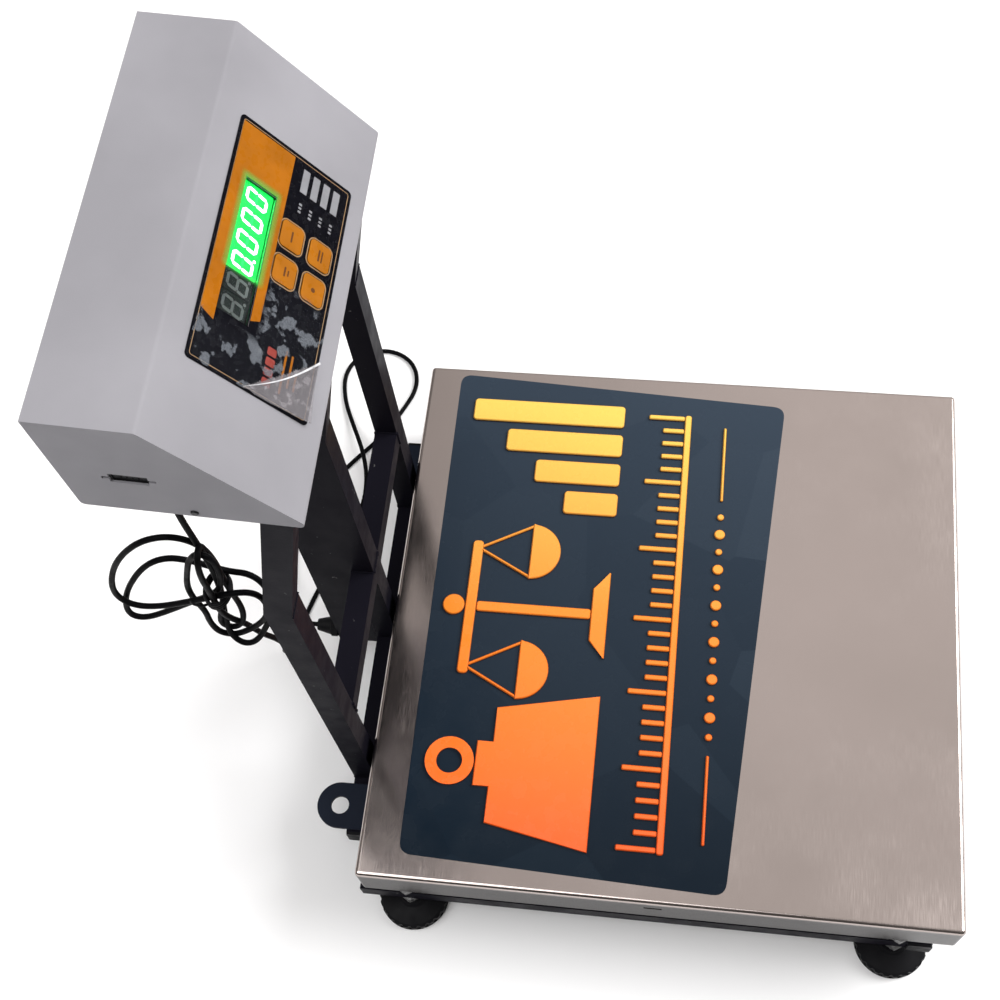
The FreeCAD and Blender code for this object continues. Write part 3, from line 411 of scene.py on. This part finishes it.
TAIL = [
    (-102, 250.5, 200), (-99, 248.5, 187),
    (-97, 245, 170), (-92, 240, 148), (-85, 241, 118), (-76, 250, 86),
    (-64, 259, 50), (-50, 272, 14), (-38, 278, -22), (-27, 284, -54), (-12, 290, -84),
    (12, 292, FLOOR_LINE), (38, 286, FLOOR_LINE), (66, 276, FLOOR_LINE), (98, 265, FLOOR_LINE),
    (124, 259, FLOOR_LINE), (144, 259, -95.5), (162, 263, -90.8), (178, 270, -90.8),
    (198, 280, -96), (222, 291, FLOOR_LINE), (248, 295, FLOOR_LINE), (268, 283, FLOOR_LINE),
    (274, 258, FLOOR_LINE), (262, 236, FLOOR_LINE), (238, 229, FLOOR_LINE),
    (212, 240, FLOOR_LINE), (186, 254, FLOOR_LINE), (160, 276, FLOOR_LINE),
    (130, 296, FLOOR_LINE), (98, 306, FLOOR_LINE), (66, 310, -96), (36, 306, -88),
    (12, 292, -72), (0, 281, -61), (0, 269, -60),
]
CABLE_THICK = 0.0036


def make_cable():
    """One smooth spline from the indicator's gland through the hank to the base's gland."""
    route = [Vector(spot) * MM for spot in DROP + HANK + TAIL]
    data = bpy.data.curves.new("load_cell_cable", "CURVE")
    data.dimensions = "3D"
    data.resolution_u = 6
    data.bevel_depth = CABLE_THICK / 2
    data.bevel_resolution = 4
    data.use_fill_caps = True
    spline = data.splines.new("NURBS")
    spline.points.add(len(route) - 1)
    for point, spot in zip(spline.points, route):
        point.co = (*spot, 1)
    spline.order_u = 3
    spline.use_endpoint_u = True
    data.materials.append(LOOKS["cable"])
    cable = bpy.data.objects.new("load_cell_cable", data)
    scene.collection.objects.link(cable)
    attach(cable, "base")
    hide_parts("cable_drop", "cable_hank", "cable_tail")
    return cable, route[0]


cable, cable_exit = make_cable()


# ---------------------------------------------------------------- mesh helpers

def piece(name, mesh, material, body="base", place=None):
    """Turns a bmesh into a finished piece that rides on a body; place moves its mesh."""
    data = bpy.data.meshes.new(name)
    bmesh.ops.recalc_face_normals(mesh, faces=mesh.faces)
    mesh.to_mesh(data)
    mesh.free()
    data.materials.append(material)
    made = bpy.data.objects.new(name, data)
    if place is not None:
        data.transform(place)
    scene.collection.objects.link(made)
    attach(made, body)
    return made


def smooth(made):
    for face in made.data.polygons:
        face.use_smooth = True


def raise_shape(mesh, outline, low, high, rim=0.0):
    """A closed prism over an outline of (x, y) in millimetres, its top edge eased by rim."""
    count = len(outline)
    rings = []
    levels = [(low, 0.0), (high, 0.0)] if rim <= 0 else [(low, 0.0), (high - rim, 0.0), (high, rim)]
    for level, pull in levels:
        ring = []
        for index, (x, y) in enumerate(outline):
            spot = Vector((x, y, 0))
            if pull:
                before = Vector((*outline[index - 1], 0))
                after = Vector((*outline[(index + 1) % count], 0))
                edge = (after - before).normalized()
                inward = Vector((-edge.y, edge.x, 0))
                spot += inward * pull
            ring.append(mesh.verts.new((spot.x * MM, spot.y * MM, level * MM)))
        rings.append(ring)
    for lower, upper in zip(rings, rings[1:]):
        for index in range(count):
            following = (index + 1) % count
            mesh.faces.new((lower[index], lower[following], upper[following], upper[index]))
    mesh.faces.new(rings[0])
    mesh.faces.new(rings[-1])


def rounded(x, y, wide, deep, radius, steps=6):
    """The outline of a rounded rectangle about (x, y), anticlockwise."""
    spots = []
    for quarter, (side_x, side_y) in enumerate(((1, 1), (-1, 1), (-1, -1), (1, -1))):
        for step in range(steps + 1):
            angle = math.pi / 2 * (quarter + step / steps)
            spots.append((x + side_x * (wide / 2 - radius) + radius * math.cos(angle),
                          y + side_y * (deep / 2 - radius) + radius * math.sin(angle)))
    return spots


def softened(corners, radius, steps=6):
    """An outline with these corners, each of them rounded off."""
    spots = []
    for index, corner in enumerate(corners):
        here = Vector(corner)
        back = (Vector(corners[index - 1]) - here).normalized() * radius
        ahead = (Vector(corners[(index + 1) % len(corners)]) - here).normalized() * radius
        for step in range(steps + 1):
            share = step / steps
            spots.append(tuple(here + back * (1 - share) ** 2 + ahead * share ** 2))
    return spots


def arc(x, y, radius, start, end, steps=24):
    """Spots on a circle from one angle to another, in degrees."""
    spots = []
    for step in range(steps + 1):
        angle = math.radians(start + (end - start) * step / steps)
        spots.append((x + radius * math.cos(angle), y + radius * math.sin(angle)))
    return spots


def frame_line(mesh, outer, inner, low, high):
    """A flat band between two outlines that have the same number of spots."""
    loops = [[mesh.verts.new((x * MM, y * MM, level * MM)) for x, y in outline]
             for outline, level in ((outer, low), (outer, high), (inner, high), (inner, low))]
    for first, second in zip(loops, loops[1:] + loops[:1]):
        for index in range(len(outer)):
            following = (index + 1) % len(outer)
            mesh.faces.new((first[index], first[following], second[following], second[index]))


# ---------------------------------------------------------------- the deck's decal

DECAL_CORNERS = [(194, 175.5), (-182.5, 172), (-190.5, -46.5), (180.5, -74)]
DECAL_THICK = 0.25
ART_LOW, ART_HIGH, ART_RIM = 0.2, 2.4, 0.9


def make_decal():
    """The dark sheet stuck on the back of the deck, a little askew."""
    mesh = bmesh.new()
    raise_shape(mesh, softened(DECAL_CORNERS, 9), 0.0, DECAL_THICK, 0.1)
    piece("deck_decal", mesh, decal_sheet(), "deck")


ART_FOOT, BEAM_FOOT, RULE_Y, BEADS_Y = 46, 141, -2, -30


def make_decal_art():
    """Generic weighing signs: a weight, a balance, rising columns, a rule and a row of beads."""
    mesh = bmesh.new()

    def add(outline):
        raise_shape(mesh, anticlockwise(outline), ART_LOW, ART_HIGH, ART_RIM)

    # a block weight with a ring on it
    weight = [(-55, 0), (55, 0), (41, 71), (16, 71), (16, 82), (-16, 82), (-16, 71), (-41, 71)]
    add([(x - 116, y + ART_FOOT) for x, y in weight])
    frame_line(mesh, arc(-116, 145.6, 17, 0, 350, 35), arc(-116, 145.6, 9, 0, 350, 35),
               ART_LOW, ART_HIGH)
    # a balance with two pans
    add([(-33, ART_FOOT), (33, ART_FOOT), (20, 58), (-20, 58)])
    add(rounded(0, 99.5, 8, 82.6, 2))
    add(rounded(0, BEAM_FOOT + 4, 104, 8, 3))
    add(arc(0, 157.4, 8, 0, 348, 28))
    for side in (-1, 1):
        add(arc(side * 46, 106, 22, 180, 360))
        for lean in (-1, 1):
            foot = side * 46 + lean * 20
            top = side * 46 + lean * 1.6
            add([(foot - 1.3, 106.1), (foot + 1.3, 106.1), (top + 1.3, BEAM_FOOT - 0.1),
                 (top - 1.3, BEAM_FOOT - 0.1)])
    # four rising columns
    for index, high in enumerate((40, 64, 88, 116)):
        add(rounded(88 + index * 25, ART_FOOT + high / 2, 19, high, 3))
    # a graduated rule
    add(rounded(0, RULE_Y, 336, 5, 2))
    for index in range(31):
        tall = 27 if index % 5 == 0 else 16
        add(rounded(-165 + index * 11, RULE_Y + 2.7 + tall / 2, 4, tall, 1.2))
    # two thin rules with beads between them
    for side in (-1, 1):
        add(rounded(side * 128, BEADS_Y, 62, 2.2, 1))
    for index in range(13):
        add(arc(-84 + index * 14, BEADS_Y, 4 if index % 2 else 2.6, 0, 340, 17))
    piece("decal_art", mesh, gold_to_orange(), "deck")


def anticlockwise(outline):
    """The same outline, turned round if it runs clockwise."""
    area = sum(x1 * y2 - x2 * y1 for (x1, y1), (x2, y2) in zip(outline, outline[1:] + outline[:1]))
    return outline if area > 0 else outline[::-1]


make_decal()
make_decal_art()


# ---------------------------------------------------------------- the indicator's panel

PANEL = {"wide": 140, "high": 75, "y": 53, "top": 0.5}
WINDOW = {"wide": 76, "high": 20, "y": 70}
KEYS = {"key_1": (1.5, 46.8), "key_2": (22.1, 46.8), "key_3": (1.5, 28), "key_4": (22.1, 28)}
KEY_TOP = 0.9
LINE_Y, LINE_PITCH, LINES = 45.6, 6.9, 4          # the four short label lines beside the keys
LIT_X, LIT_WIDE = 12.6, 50.4                      # the lit part of the window
ORANGE = printed("panel_orange", (0.33, 0.105, 0.004), 0.26, 0.1)
GOLD_LINE = printed("panel_line", (0.30, 0.19, 0.10), 0.3, 0.1)
LABEL = printed("panel_label", (0.22, 0.22, 0.235), 0.3, 0.1)
DARK_INK = printed("key_ink", (0.10, 0.035, 0.01), 0.4)
DULL_RED = printed("panel_red", (0.26, 0.045, 0.035), 0.3, 0.1)


def panel_piece(name, fill, material, body="base"):
    """A piece drawn flat in millimetres and laid on the indicator's sloping front."""
    mesh = bmesh.new()
    fill(mesh)
    return piece(name, mesh, material, body, SLOPE)


def bars(spots, low, high):
    """Fills a mesh with rounded blocks, each given as x, y, wide, deep and radius."""
    def fill(mesh):
        for x, y, wide, deep, radius in spots:
            raise_shape(mesh, rounded(x, y, wide, deep, radius, 3), low, high)
    return fill


def make_panel_art():
    top = PANEL["top"]
    ink = top + 0.06

    def orange_block(mesh):
        low, high, end = 54.5, 88.5, 67
        right = WINDOW["wide"] / 2 + 0.1
        window_low = WINDOW["y"] - WINDOW["high"] / 2
        window_high = WINDOW["y"] + WINDOW["high"] / 2
        above = [(-45, window_high), (end, window_high), (end, high), (-42, high)]
        below = [(-32, low), (end, low), (end, window_low), (-34.5, window_low)]
        beside = [(right, window_low), (end, window_low), (end, window_high), (right, window_high)]
        for outline in (above, below, beside):
            raise_shape(mesh, outline, top - 0.2, ink)
    panel_piece("panel_orange", orange_block, ORANGE)

    def keyline(mesh):
        inset, thick = 1.9, 0.38
        wide, high = PANEL["wide"] - inset * 2, PANEL["high"] - inset * 2
        frame_line(mesh, rounded(0, PANEL["y"], wide, high, 1.6),
                   rounded(0, PANEL["y"], wide - thick * 2, high - thick * 2, 1.2), top - 0.2, ink)
        for x, y in KEYS.values():
            frame_line(mesh, rounded(x, y, 17.4, 16.4, 4.2), rounded(x, y, 16.2, 15.2, 3.6),
                       top - 0.2, ink)
    panel_piece("panel_lines", keyline, GOLD_LINE)

    levels = [LINE_Y - LINE_PITCH * line for line in range(LINES)]
    labels = [(57, level, 14, 4.4, 0.3) for level in levels]
    panel_piece("panel_labels", bars(labels, top - 0.2, ink), LABEL)
    ticks = [(43 - step * 2.2, level, 1.2, 1.9, 0.2) for level in levels for step in range(3)]
    panel_piece("panel_ticks", bars(ticks, top - 0.2, ink), LABEL)

    blocks = [(-60.2 + step * 5.6, 44, 4.4, 5.6, 0.8) for step in range(4)]
    panel_piece("panel_badge", bars(blocks, top - 0.2, ink), DULL_RED)
    short = [(-50, 35.5, 24, 1.3, 0.5), (-48, 31.5, 18, 1.3, 0.5), (-52, 27.5, 10, 1.3, 0.5)]
    panel_piece("panel_rules", bars(short, top - 0.2, ink), ORANGE)

    marks = {
        "key_1": [(0, 0, 5.5, 1.1, 0.4), (0, -2.2, 3.4, 0.9, 0.3)],
        "key_2": [(0, 0, 6.4, 1.1, 0.4)],
        "key_3": [(0, 0, 2.6, 2.6, 1.2)],
        "key_4": [(0, 0.6, 6.8, 1.1, 0.4), (0, -1.4, 6.8, 0.9, 0.3)],
    }
    for name, shapes in marks.items():
        key_x, key_y = KEYS[name]
        spots = [(key_x + x, key_y + y, wide, deep, radius) for x, y, wide, deep, radius in shapes]
        fill = bars(spots, KEY_TOP - 0.1, KEY_TOP + 0.04)
        panel_piece(name + "_mark", fill, DARK_INK, name)


# each bar's side, level, and whether it is upright
SEGMENTS = {"a": (0, 1, 0), "b": (1, 0.5, 1), "c": (1, -0.5, 1), "d": (0, -1, 0),
            "e": (-1, -0.5, 1), "f": (-1, 0.5, 1), "g": (0, 0, 0)}
DIGIT = {"pitch": 12.5, "half_wide": 3.3, "half_high": 6.0, "stroke": 0.8, "slant": 0.14}
DIGIT_LOW, DIGIT_TOP = -1.9, -1.68


def segment(mesh, x, y, name):
    """One bar of a seven-segment digit, a long hexagon that leans with the digit."""
    side, level, upright = SEGMENTS[name]
    wide, high, stroke = DIGIT["half_wide"], DIGIT["half_high"], DIGIT["stroke"]
    reach = (high / 2 if upright else wide) - 0.12
    hexagon = [(-reach, 0), (-reach + stroke, -stroke), (reach - stroke, -stroke), (reach, 0),
               (reach - stroke, stroke), (-reach + stroke, stroke)]
    spots = []
    for along, across in hexagon:
        dx, dy = (-across, along) if upright else (along, across)
        spot_x, spot_y = side * wide + dx, level * high + dy
        spots.append((x + spot_x + spot_y * DIGIT["slant"], y + spot_y))
    raise_shape(mesh, spots, DIGIT_LOW, DIGIT_TOP)


def make_digits():
    """Four lit digits, two unlit ones and the green glow behind the lit ones."""
    def fill(places, point):
        def inner(mesh):
            for index, names in places:
                x = DIGIT["pitch"] * (index - 2.5) - 0.4
                for name in names:
                    segment(mesh, x, WINDOW["y"], name)
                if point == index or point == "all":
                    dot = arc(x + 4.4, WINDOW["y"] - 6.4, 0.85, 0, 340, 17)
                    raise_shape(mesh, dot, DIGIT_LOW, DIGIT_TOP)
        return inner
    panel_piece("digits_lit", fill([(index, "abcdef") for index in range(2, 6)], 2),
                lit("digit_lit", (0.62, 1.0, 0.72), 5.0))
    off = moulded("digit_off", (0.17, 0.18, 0.18), 0.5)
    panel_piece("digits_off", fill([(0, "abcdefg"), (1, "abcdefg")], "all"), off)
    panel_piece("digits_off_bars", fill([(index, "g") for index in range(2, 6)], None),
                lit("digit_dim", (0.02, 0.75, 0.14), 0.9))

    def backing(mesh):
        raise_shape(mesh, rounded(LIT_X, WINDOW["y"], LIT_WIDE, 19, 1), DIGIT_LOW + 0.02,
                    DIGIT_LOW + 0.12)
    glow = Look("digit_glow", (0.0, 0.6, 0.08), 0.5)
    glow.set("Emission Color", (0.0, 0.82, 0.07, 1))
    spread = glow.span(glow.noise(70, 2), 0.3, 0.7, 0.75, 1.15)
    glow.join(spread, "Emission Strength")
    panel_piece("digit_glow", backing, glow.material)


def make_halo():
    """The faint green light that spills over the print round the lit digits, painted on as a
    glowing band.
    """
    fade, strongest = 0.0035, 0.28
    look = Look("display_halo", (0.0, 0.0, 0.0), 0.6)
    look.set("Emission Color", (0.10, 1.0, 0.12, 1))
    look.set("Emission Strength", 0.8)
    local = look.node("Mapping", {"Vector": look.place}, vector_type="TEXTURE")
    local.inputs["Location"].default_value = BOX_EDGE
    local.inputs["Rotation"].default_value = (SLOPE_TILT, 0, 0)
    axes = look.node("SeparateXYZ", {"Vector": local.outputs["Vector"]})
    fades = []
    for axis, middle, half in (("X", 0.0130, 0.0255), ("Y", 0.0700, 0.0100)):
        away = look.combine("ABSOLUTE", look.combine("SUBTRACT", axes.outputs[axis], middle))
        fades.append(look.span(away, half, half + fade, 1.0, 0.0))
    near = look.combine("MULTIPLY", *fades)
    look.join(look.span(near, 0.0, 1.0, 0.0, strongest), "Alpha")

    def fill(mesh):
        outer = rounded(LIT_X, WINDOW["y"], 61, 29, 3)
        inner = rounded(LIT_X, WINDOW["y"], LIT_WIDE, 19.6, 1)
        frame_line(mesh, outer, inner, PANEL["top"] + 0.1, PANEL["top"] + 0.14)
    panel_piece("display_halo", fill, look.material)


make_panel_art()
make_digits()
make_halo()


# ---------------------------------------------------------------- protective film

FOLD_START, FOLD_END = Vector((-69.5, 57)), Vector((-35, 16))
FOLD_SAG, FOLD_STEPS = 2.4, 40
FILM_COLUMNS, FILM_ROWS = 120, 66
FILM_MARGIN, FILM_LEVEL = 0.4, 1.12
CURL_HIGH, CURL_SPOT, CURL_WIDE = 0.9, 2.2, 1.6   # the bulge just past the fold
FLAP_RISE = 0.0042                                # how steeply the loose corner bends up
FOLD_HIGHLIGHT_LIFT = 1.0


def beyond_fold(spot):
    """How far a spot lies past the fold, towards the loose corner, in millimetres."""
    along = (FOLD_END - FOLD_START).normalized()
    across = Vector((along.y, -along.x))
    return (spot - FOLD_START).dot(across)


def film_level(spot):
    """Height of the stuck-down film: small creases, and blisters towards the loose end."""
    crease = noise.noise(Vector((spot.x * 0.16, spot.y * 0.16, 3.1)))
    fine = noise.noise(Vector((spot.x * 0.5, spot.y * 0.5, 9.4)))
    loose = min(1.0, max(0.0, (-spot.x - 12) / 30))
    return FILM_LEVEL + 0.10 * fine + 0.12 * crease + loose * (0.55 * max(0.0, crease) + 0.2 * fine)


def make_film():
    """The clear film over the panel, with its loose corner past a fold that carries a painted
    highlight.
    """
    half = PANEL["wide"] / 2 - FILM_MARGIN
    low = PANEL["y"] - PANEL["high"] / 2 + FILM_MARGIN
    high = PANEL["y"] + PANEL["high"] / 2 - FILM_MARGIN
    flat, flap = bmesh.new(), bmesh.new()
    for column in range(FILM_COLUMNS):
        for row in range(FILM_ROWS):
            corners = []
            for step_x, step_y in ((0, 0), (1, 0), (1, 1), (0, 1)):
                corners.append(Vector((-half + 2 * half * (column + step_x) / FILM_COLUMNS,
                                       low + (high - low) * (row + step_y) / FILM_ROWS)))
            middle = sum(corners, Vector((0, 0))) / 4
            past = beyond_fold(middle)
            mesh = flat if past < 0 else flap
            spots = []
            for spot in corners:
                level = film_level(spot)
                lift = max(0.0, beyond_fold(spot))
                if past >= 0:
                    level += CURL_HIGH * math.exp(-((lift - CURL_SPOT) / CURL_WIDE) ** 2)
                level += FLAP_RISE * lift * lift
                spots.append(mesh.verts.new((spot.x * MM, spot.y * MM, level * MM)))
            mesh.faces.new(spots)
    for name, mesh, material in (
            ("protective_film", flat, film("film_clear", (0.16, 0.175, 0.20), 0.01, 0.42, 105)),
            ("film_corner", flap, film("film_loose", (0.26, 0.245, 0.26), 0.34, 0.58, 190, True))):
        bmesh.ops.remove_doubles(mesh, verts=mesh.verts, dist=1e-6)
        made = piece(name, mesh, material, "base", SLOPE)
        smooth(made)
        skin = made.modifiers.new("thickness", "SOLIDIFY")
        skin.thickness = 0.00006

    # painted highlight: a pale strip along the fold, lifted over the film, stands in for light
    # caught by the curl
    edge = bmesh.new()
    for index in range(FOLD_STEPS):
        ends = []
        for share in (index / FOLD_STEPS, (index + 1) / FOLD_STEPS):
            spot = FOLD_START.lerp(FOLD_END, share)
            sag = math.sin(share * math.pi) * FOLD_SAG
            across = Vector((FOLD_END - FOLD_START).normalized().yx) * Vector((1, -1))
            spot = spot + across * sag
            wide = 0.3 + 0.8 * share
            level = film_level(spot) + FOLD_HIGHLIGHT_LIFT
            ends.append([spot - across * wide * 0.5, spot + across * wide * 0.5, level])
        (a, b, level_1), (c, d, level_2) = ends
        corners = ((a, level_1), (b, level_1 + 0.2), (d, level_2 + 0.2), (c, level_2))
        edge.faces.new([edge.verts.new((spot.x * MM, spot.y * MM, level * MM))
                        for spot, level in corners])
    bmesh.ops.remove_doubles(edge, verts=edge.verts, dist=1e-6)
    fold_highlight = Look("film_fold_highlight", (0.80, 0.80, 0.82), 0.25, alpha=0.85)
    fold_highlight.join(fold_highlight.span(fold_highlight.noise(160, 3), 0.3, 0.6, 0.25, 0.7), "Alpha")
    made = piece("film_fold_highlight", edge, fold_highlight.material, "base", SLOPE)
    made.modifiers.new("thickness", "SOLIDIFY").thickness = 0.00008


make_film()


# ---------------------------------------------------------------- hank tie and weld beads

def ring_tube(mesh, line, radius, closed=False, sides=8, wobble=0.0):
    """A tube through points in metres; wobble makes it swell and shrink like a weld."""
    rings = []
    count = len(line)
    for index, spot in enumerate(line):
        before = line[index - 1] if index or closed else line[0]
        after = line[(index + 1) % count] if index + 1 < count or closed else line[-1]
        along = (after - before).normalized()
        side = along.orthogonal().normalized() if not rings else last_side
        side = (side - along * side.dot(along)).normalized()
        last_side = side
        other = along.cross(side)
        swell = radius * (1 + wobble * noise.noise(spot * 700))
        ring = []
        for step in range(sides):
            turn = 2 * math.pi * step / sides
            away = side * math.cos(turn) + other * math.sin(turn)
            ring.append(mesh.verts.new(spot + away * swell))
        rings.append(ring)
    pairs = list(zip(rings, rings[1:])) + ([(rings[-1], rings[0])] if closed else [])
    for lower, upper in pairs:
        for index in range(sides):
            following = (index + 1) % sides
            mesh.faces.new((lower[index], lower[following], upper[following], upper[index]))
    if not closed:
        mesh.faces.new(rings[0])
        mesh.faces.new(rings[-1])


TIE = {"centre": Vector((-0.1035, 0.2503, 0.2500)), "half_x": 0.0105, "half_y": 0.0066,
       "pitch": 0.0022, "slope": 0.0007, "radius": 0.0011, "steps": 28}


def make_tie():
    """Three turns of a twist tie round the waist of the hank, and its tail."""
    mesh = bmesh.new()
    centre = TIE["centre"]
    for turn in (-1, 0, 1):
        line = []
        for step in range(TIE["steps"]):
            angle = 2 * math.pi * step / TIE["steps"]
            line.append(centre + Vector((TIE["half_x"] * math.cos(angle),
                                         TIE["half_y"] * math.sin(angle),
                                         turn * TIE["pitch"] + TIE["slope"] * math.sin(angle))))
        ring_tube(mesh, line, TIE["radius"], closed=True)
    tail = [centre + Vector((-0.0100, 0.0040, 0.001)), centre + Vector((-0.0125, 0.0060, 0.004)),
            centre + Vector((-0.0135, 0.0088, 0.009)), centre + Vector((-0.0130, 0.0100, 0.013))]
    ring_tube(mesh, tail, 0.0008)
    return piece("hank_tie", mesh, LOOKS["black_plastic"])


POST_X, HALF_RAIL, POST_FRONT, POST_BACK = 110, 8, 205, 221
RAIL_TOP, BAR_FOOT, BAR_TOP, BEND = -55, 50, 66, 251
LUG_EDGES = (123.5, 156.5)


def make_welds():
    """Weld beads where the stand's tubes, the stay, the lugs and the front rail meet."""
    mesh = bmesh.new()

    def bead(start, end, radius=1.1):
        first, last = Vector(start) * MM, Vector(end) * MM
        steps = max(4, int((last - first).length / 0.0011))
        ring_tube(mesh, [first.lerp(last, step / steps) for step in range(steps + 1)],
                  radius * MM, sides=7, wobble=0.55)

    front, back, half = POST_FRONT, POST_BACK, HALF_RAIL
    for x in (-POST_X, POST_X):
        for y in (front, back):
            bead((x - half, y, RAIL_TOP), (x + half, y, RAIL_TOP))
        inside = x + half if x < 0 else x - half
        for y in (front, back):
            bead((inside, y, BAR_FOOT), (inside, y, BAR_TOP))
        bead((inside, front, BAR_TOP), (inside, back, BAR_TOP))
        bead((x - half, front, BEND), (x + half, front, BEND), 0.7)
    bead((-half, front, BAR_TOP), (half, front, BAR_TOP))
    for side in (-1, 1):
        for level in (BAR_TOP, BAR_FOOT):
            bead((side * half, front, level), (side * half, back, level))
        bead((side * 6, 221.4, -50), (side * 6, 221.4, 20))
        for edge in LUG_EDGES:
            bead((side * edge, front, RAIL_TOP), (side * edge, 219, RAIL_TOP))
        bead((side * 181, -172, RAIL_TOP), (side * 181, -188, RAIL_TOP))
    smooth(piece("stand_welds", mesh, LOOKS["slate_paint"]))


tie = make_tie()
make_welds()


# ---------------------------------------------------------------- floor and light

def make_stage():
    """The pale floor, a dim soft room and two soft lamps."""
    floor_level = cad_box[0].z
    bpy.ops.mesh.primitive_plane_add(size=12, location=(0, 0, floor_level))
    floor = bpy.context.object
    floor.name = "floor"
    look = Look("floor", (0.93, 0.93, 0.93), 0.8, specular_ior_level=0.1)
    look.tint(look.span(look.noise(1.5, 3), 0.3, 0.7), (0.92, 0.92, 0.925), (0.94, 0.94, 0.94))
    floor.data.materials.append(look.material)

    world = bpy.data.worlds.new("soft_room")
    world.use_nodes = True
    tree = world.node_tree
    background = tree.nodes["Background"]
    place = tree.nodes.new("ShaderNodeTexCoord")
    axes = tree.nodes.new("ShaderNodeSeparateXYZ")
    ramp = tree.nodes.new("ShaderNodeValToRGB")
    tree.links.new(place.outputs["Generated"], axes.inputs["Vector"])

    def fade(axis, start, end, low, high):
        return ramped(tree, axes.outputs[axis], start, end, low, high)

    # the room is dim to the left, behind the stand and towards the horizon
    strength = fade("X", -0.6, 0.35, 0.16, 1.0)
    for factor in (fade("Y", 0.30, 0.02, 0.35, 1.0), fade("Z", 0.05, 0.55, 0.25, 1.0)):
        product = tree.nodes.new("ShaderNodeMath")
        product.operation = "MULTIPLY"
        tree.links.new(strength, product.inputs[0])
        tree.links.new(factor, product.inputs[1])
        strength = product.outputs[0]
    tree.links.new(strength, background.inputs["Strength"])
    background.inputs["Color"].default_value = (0.90, 0.86, 0.84, 1)
    scene.world = world

    def softbox(name, spot, target, size, power):
        data = bpy.data.lights.new(name, "AREA")
        data.shape = "SQUARE"
        data.size = size
        data.energy = power
        lamp = bpy.data.objects.new(name, data)
        lamp.location = spot
        lamp.rotation_euler = (Vector(target) - Vector(spot)).to_track_quat("-Z", "Y").to_euler()
        scene.collection.objects.link(lamp)

    softbox("key", (0.8, -2.4, 2.3), (0, 0, 0), 2.0, 130)
    softbox("fill", (-0.9, 1.2, 2.6), (0, 0.1, 0), 2.4, 62)
    scene.view_settings.view_transform = "Standard"


make_stage()
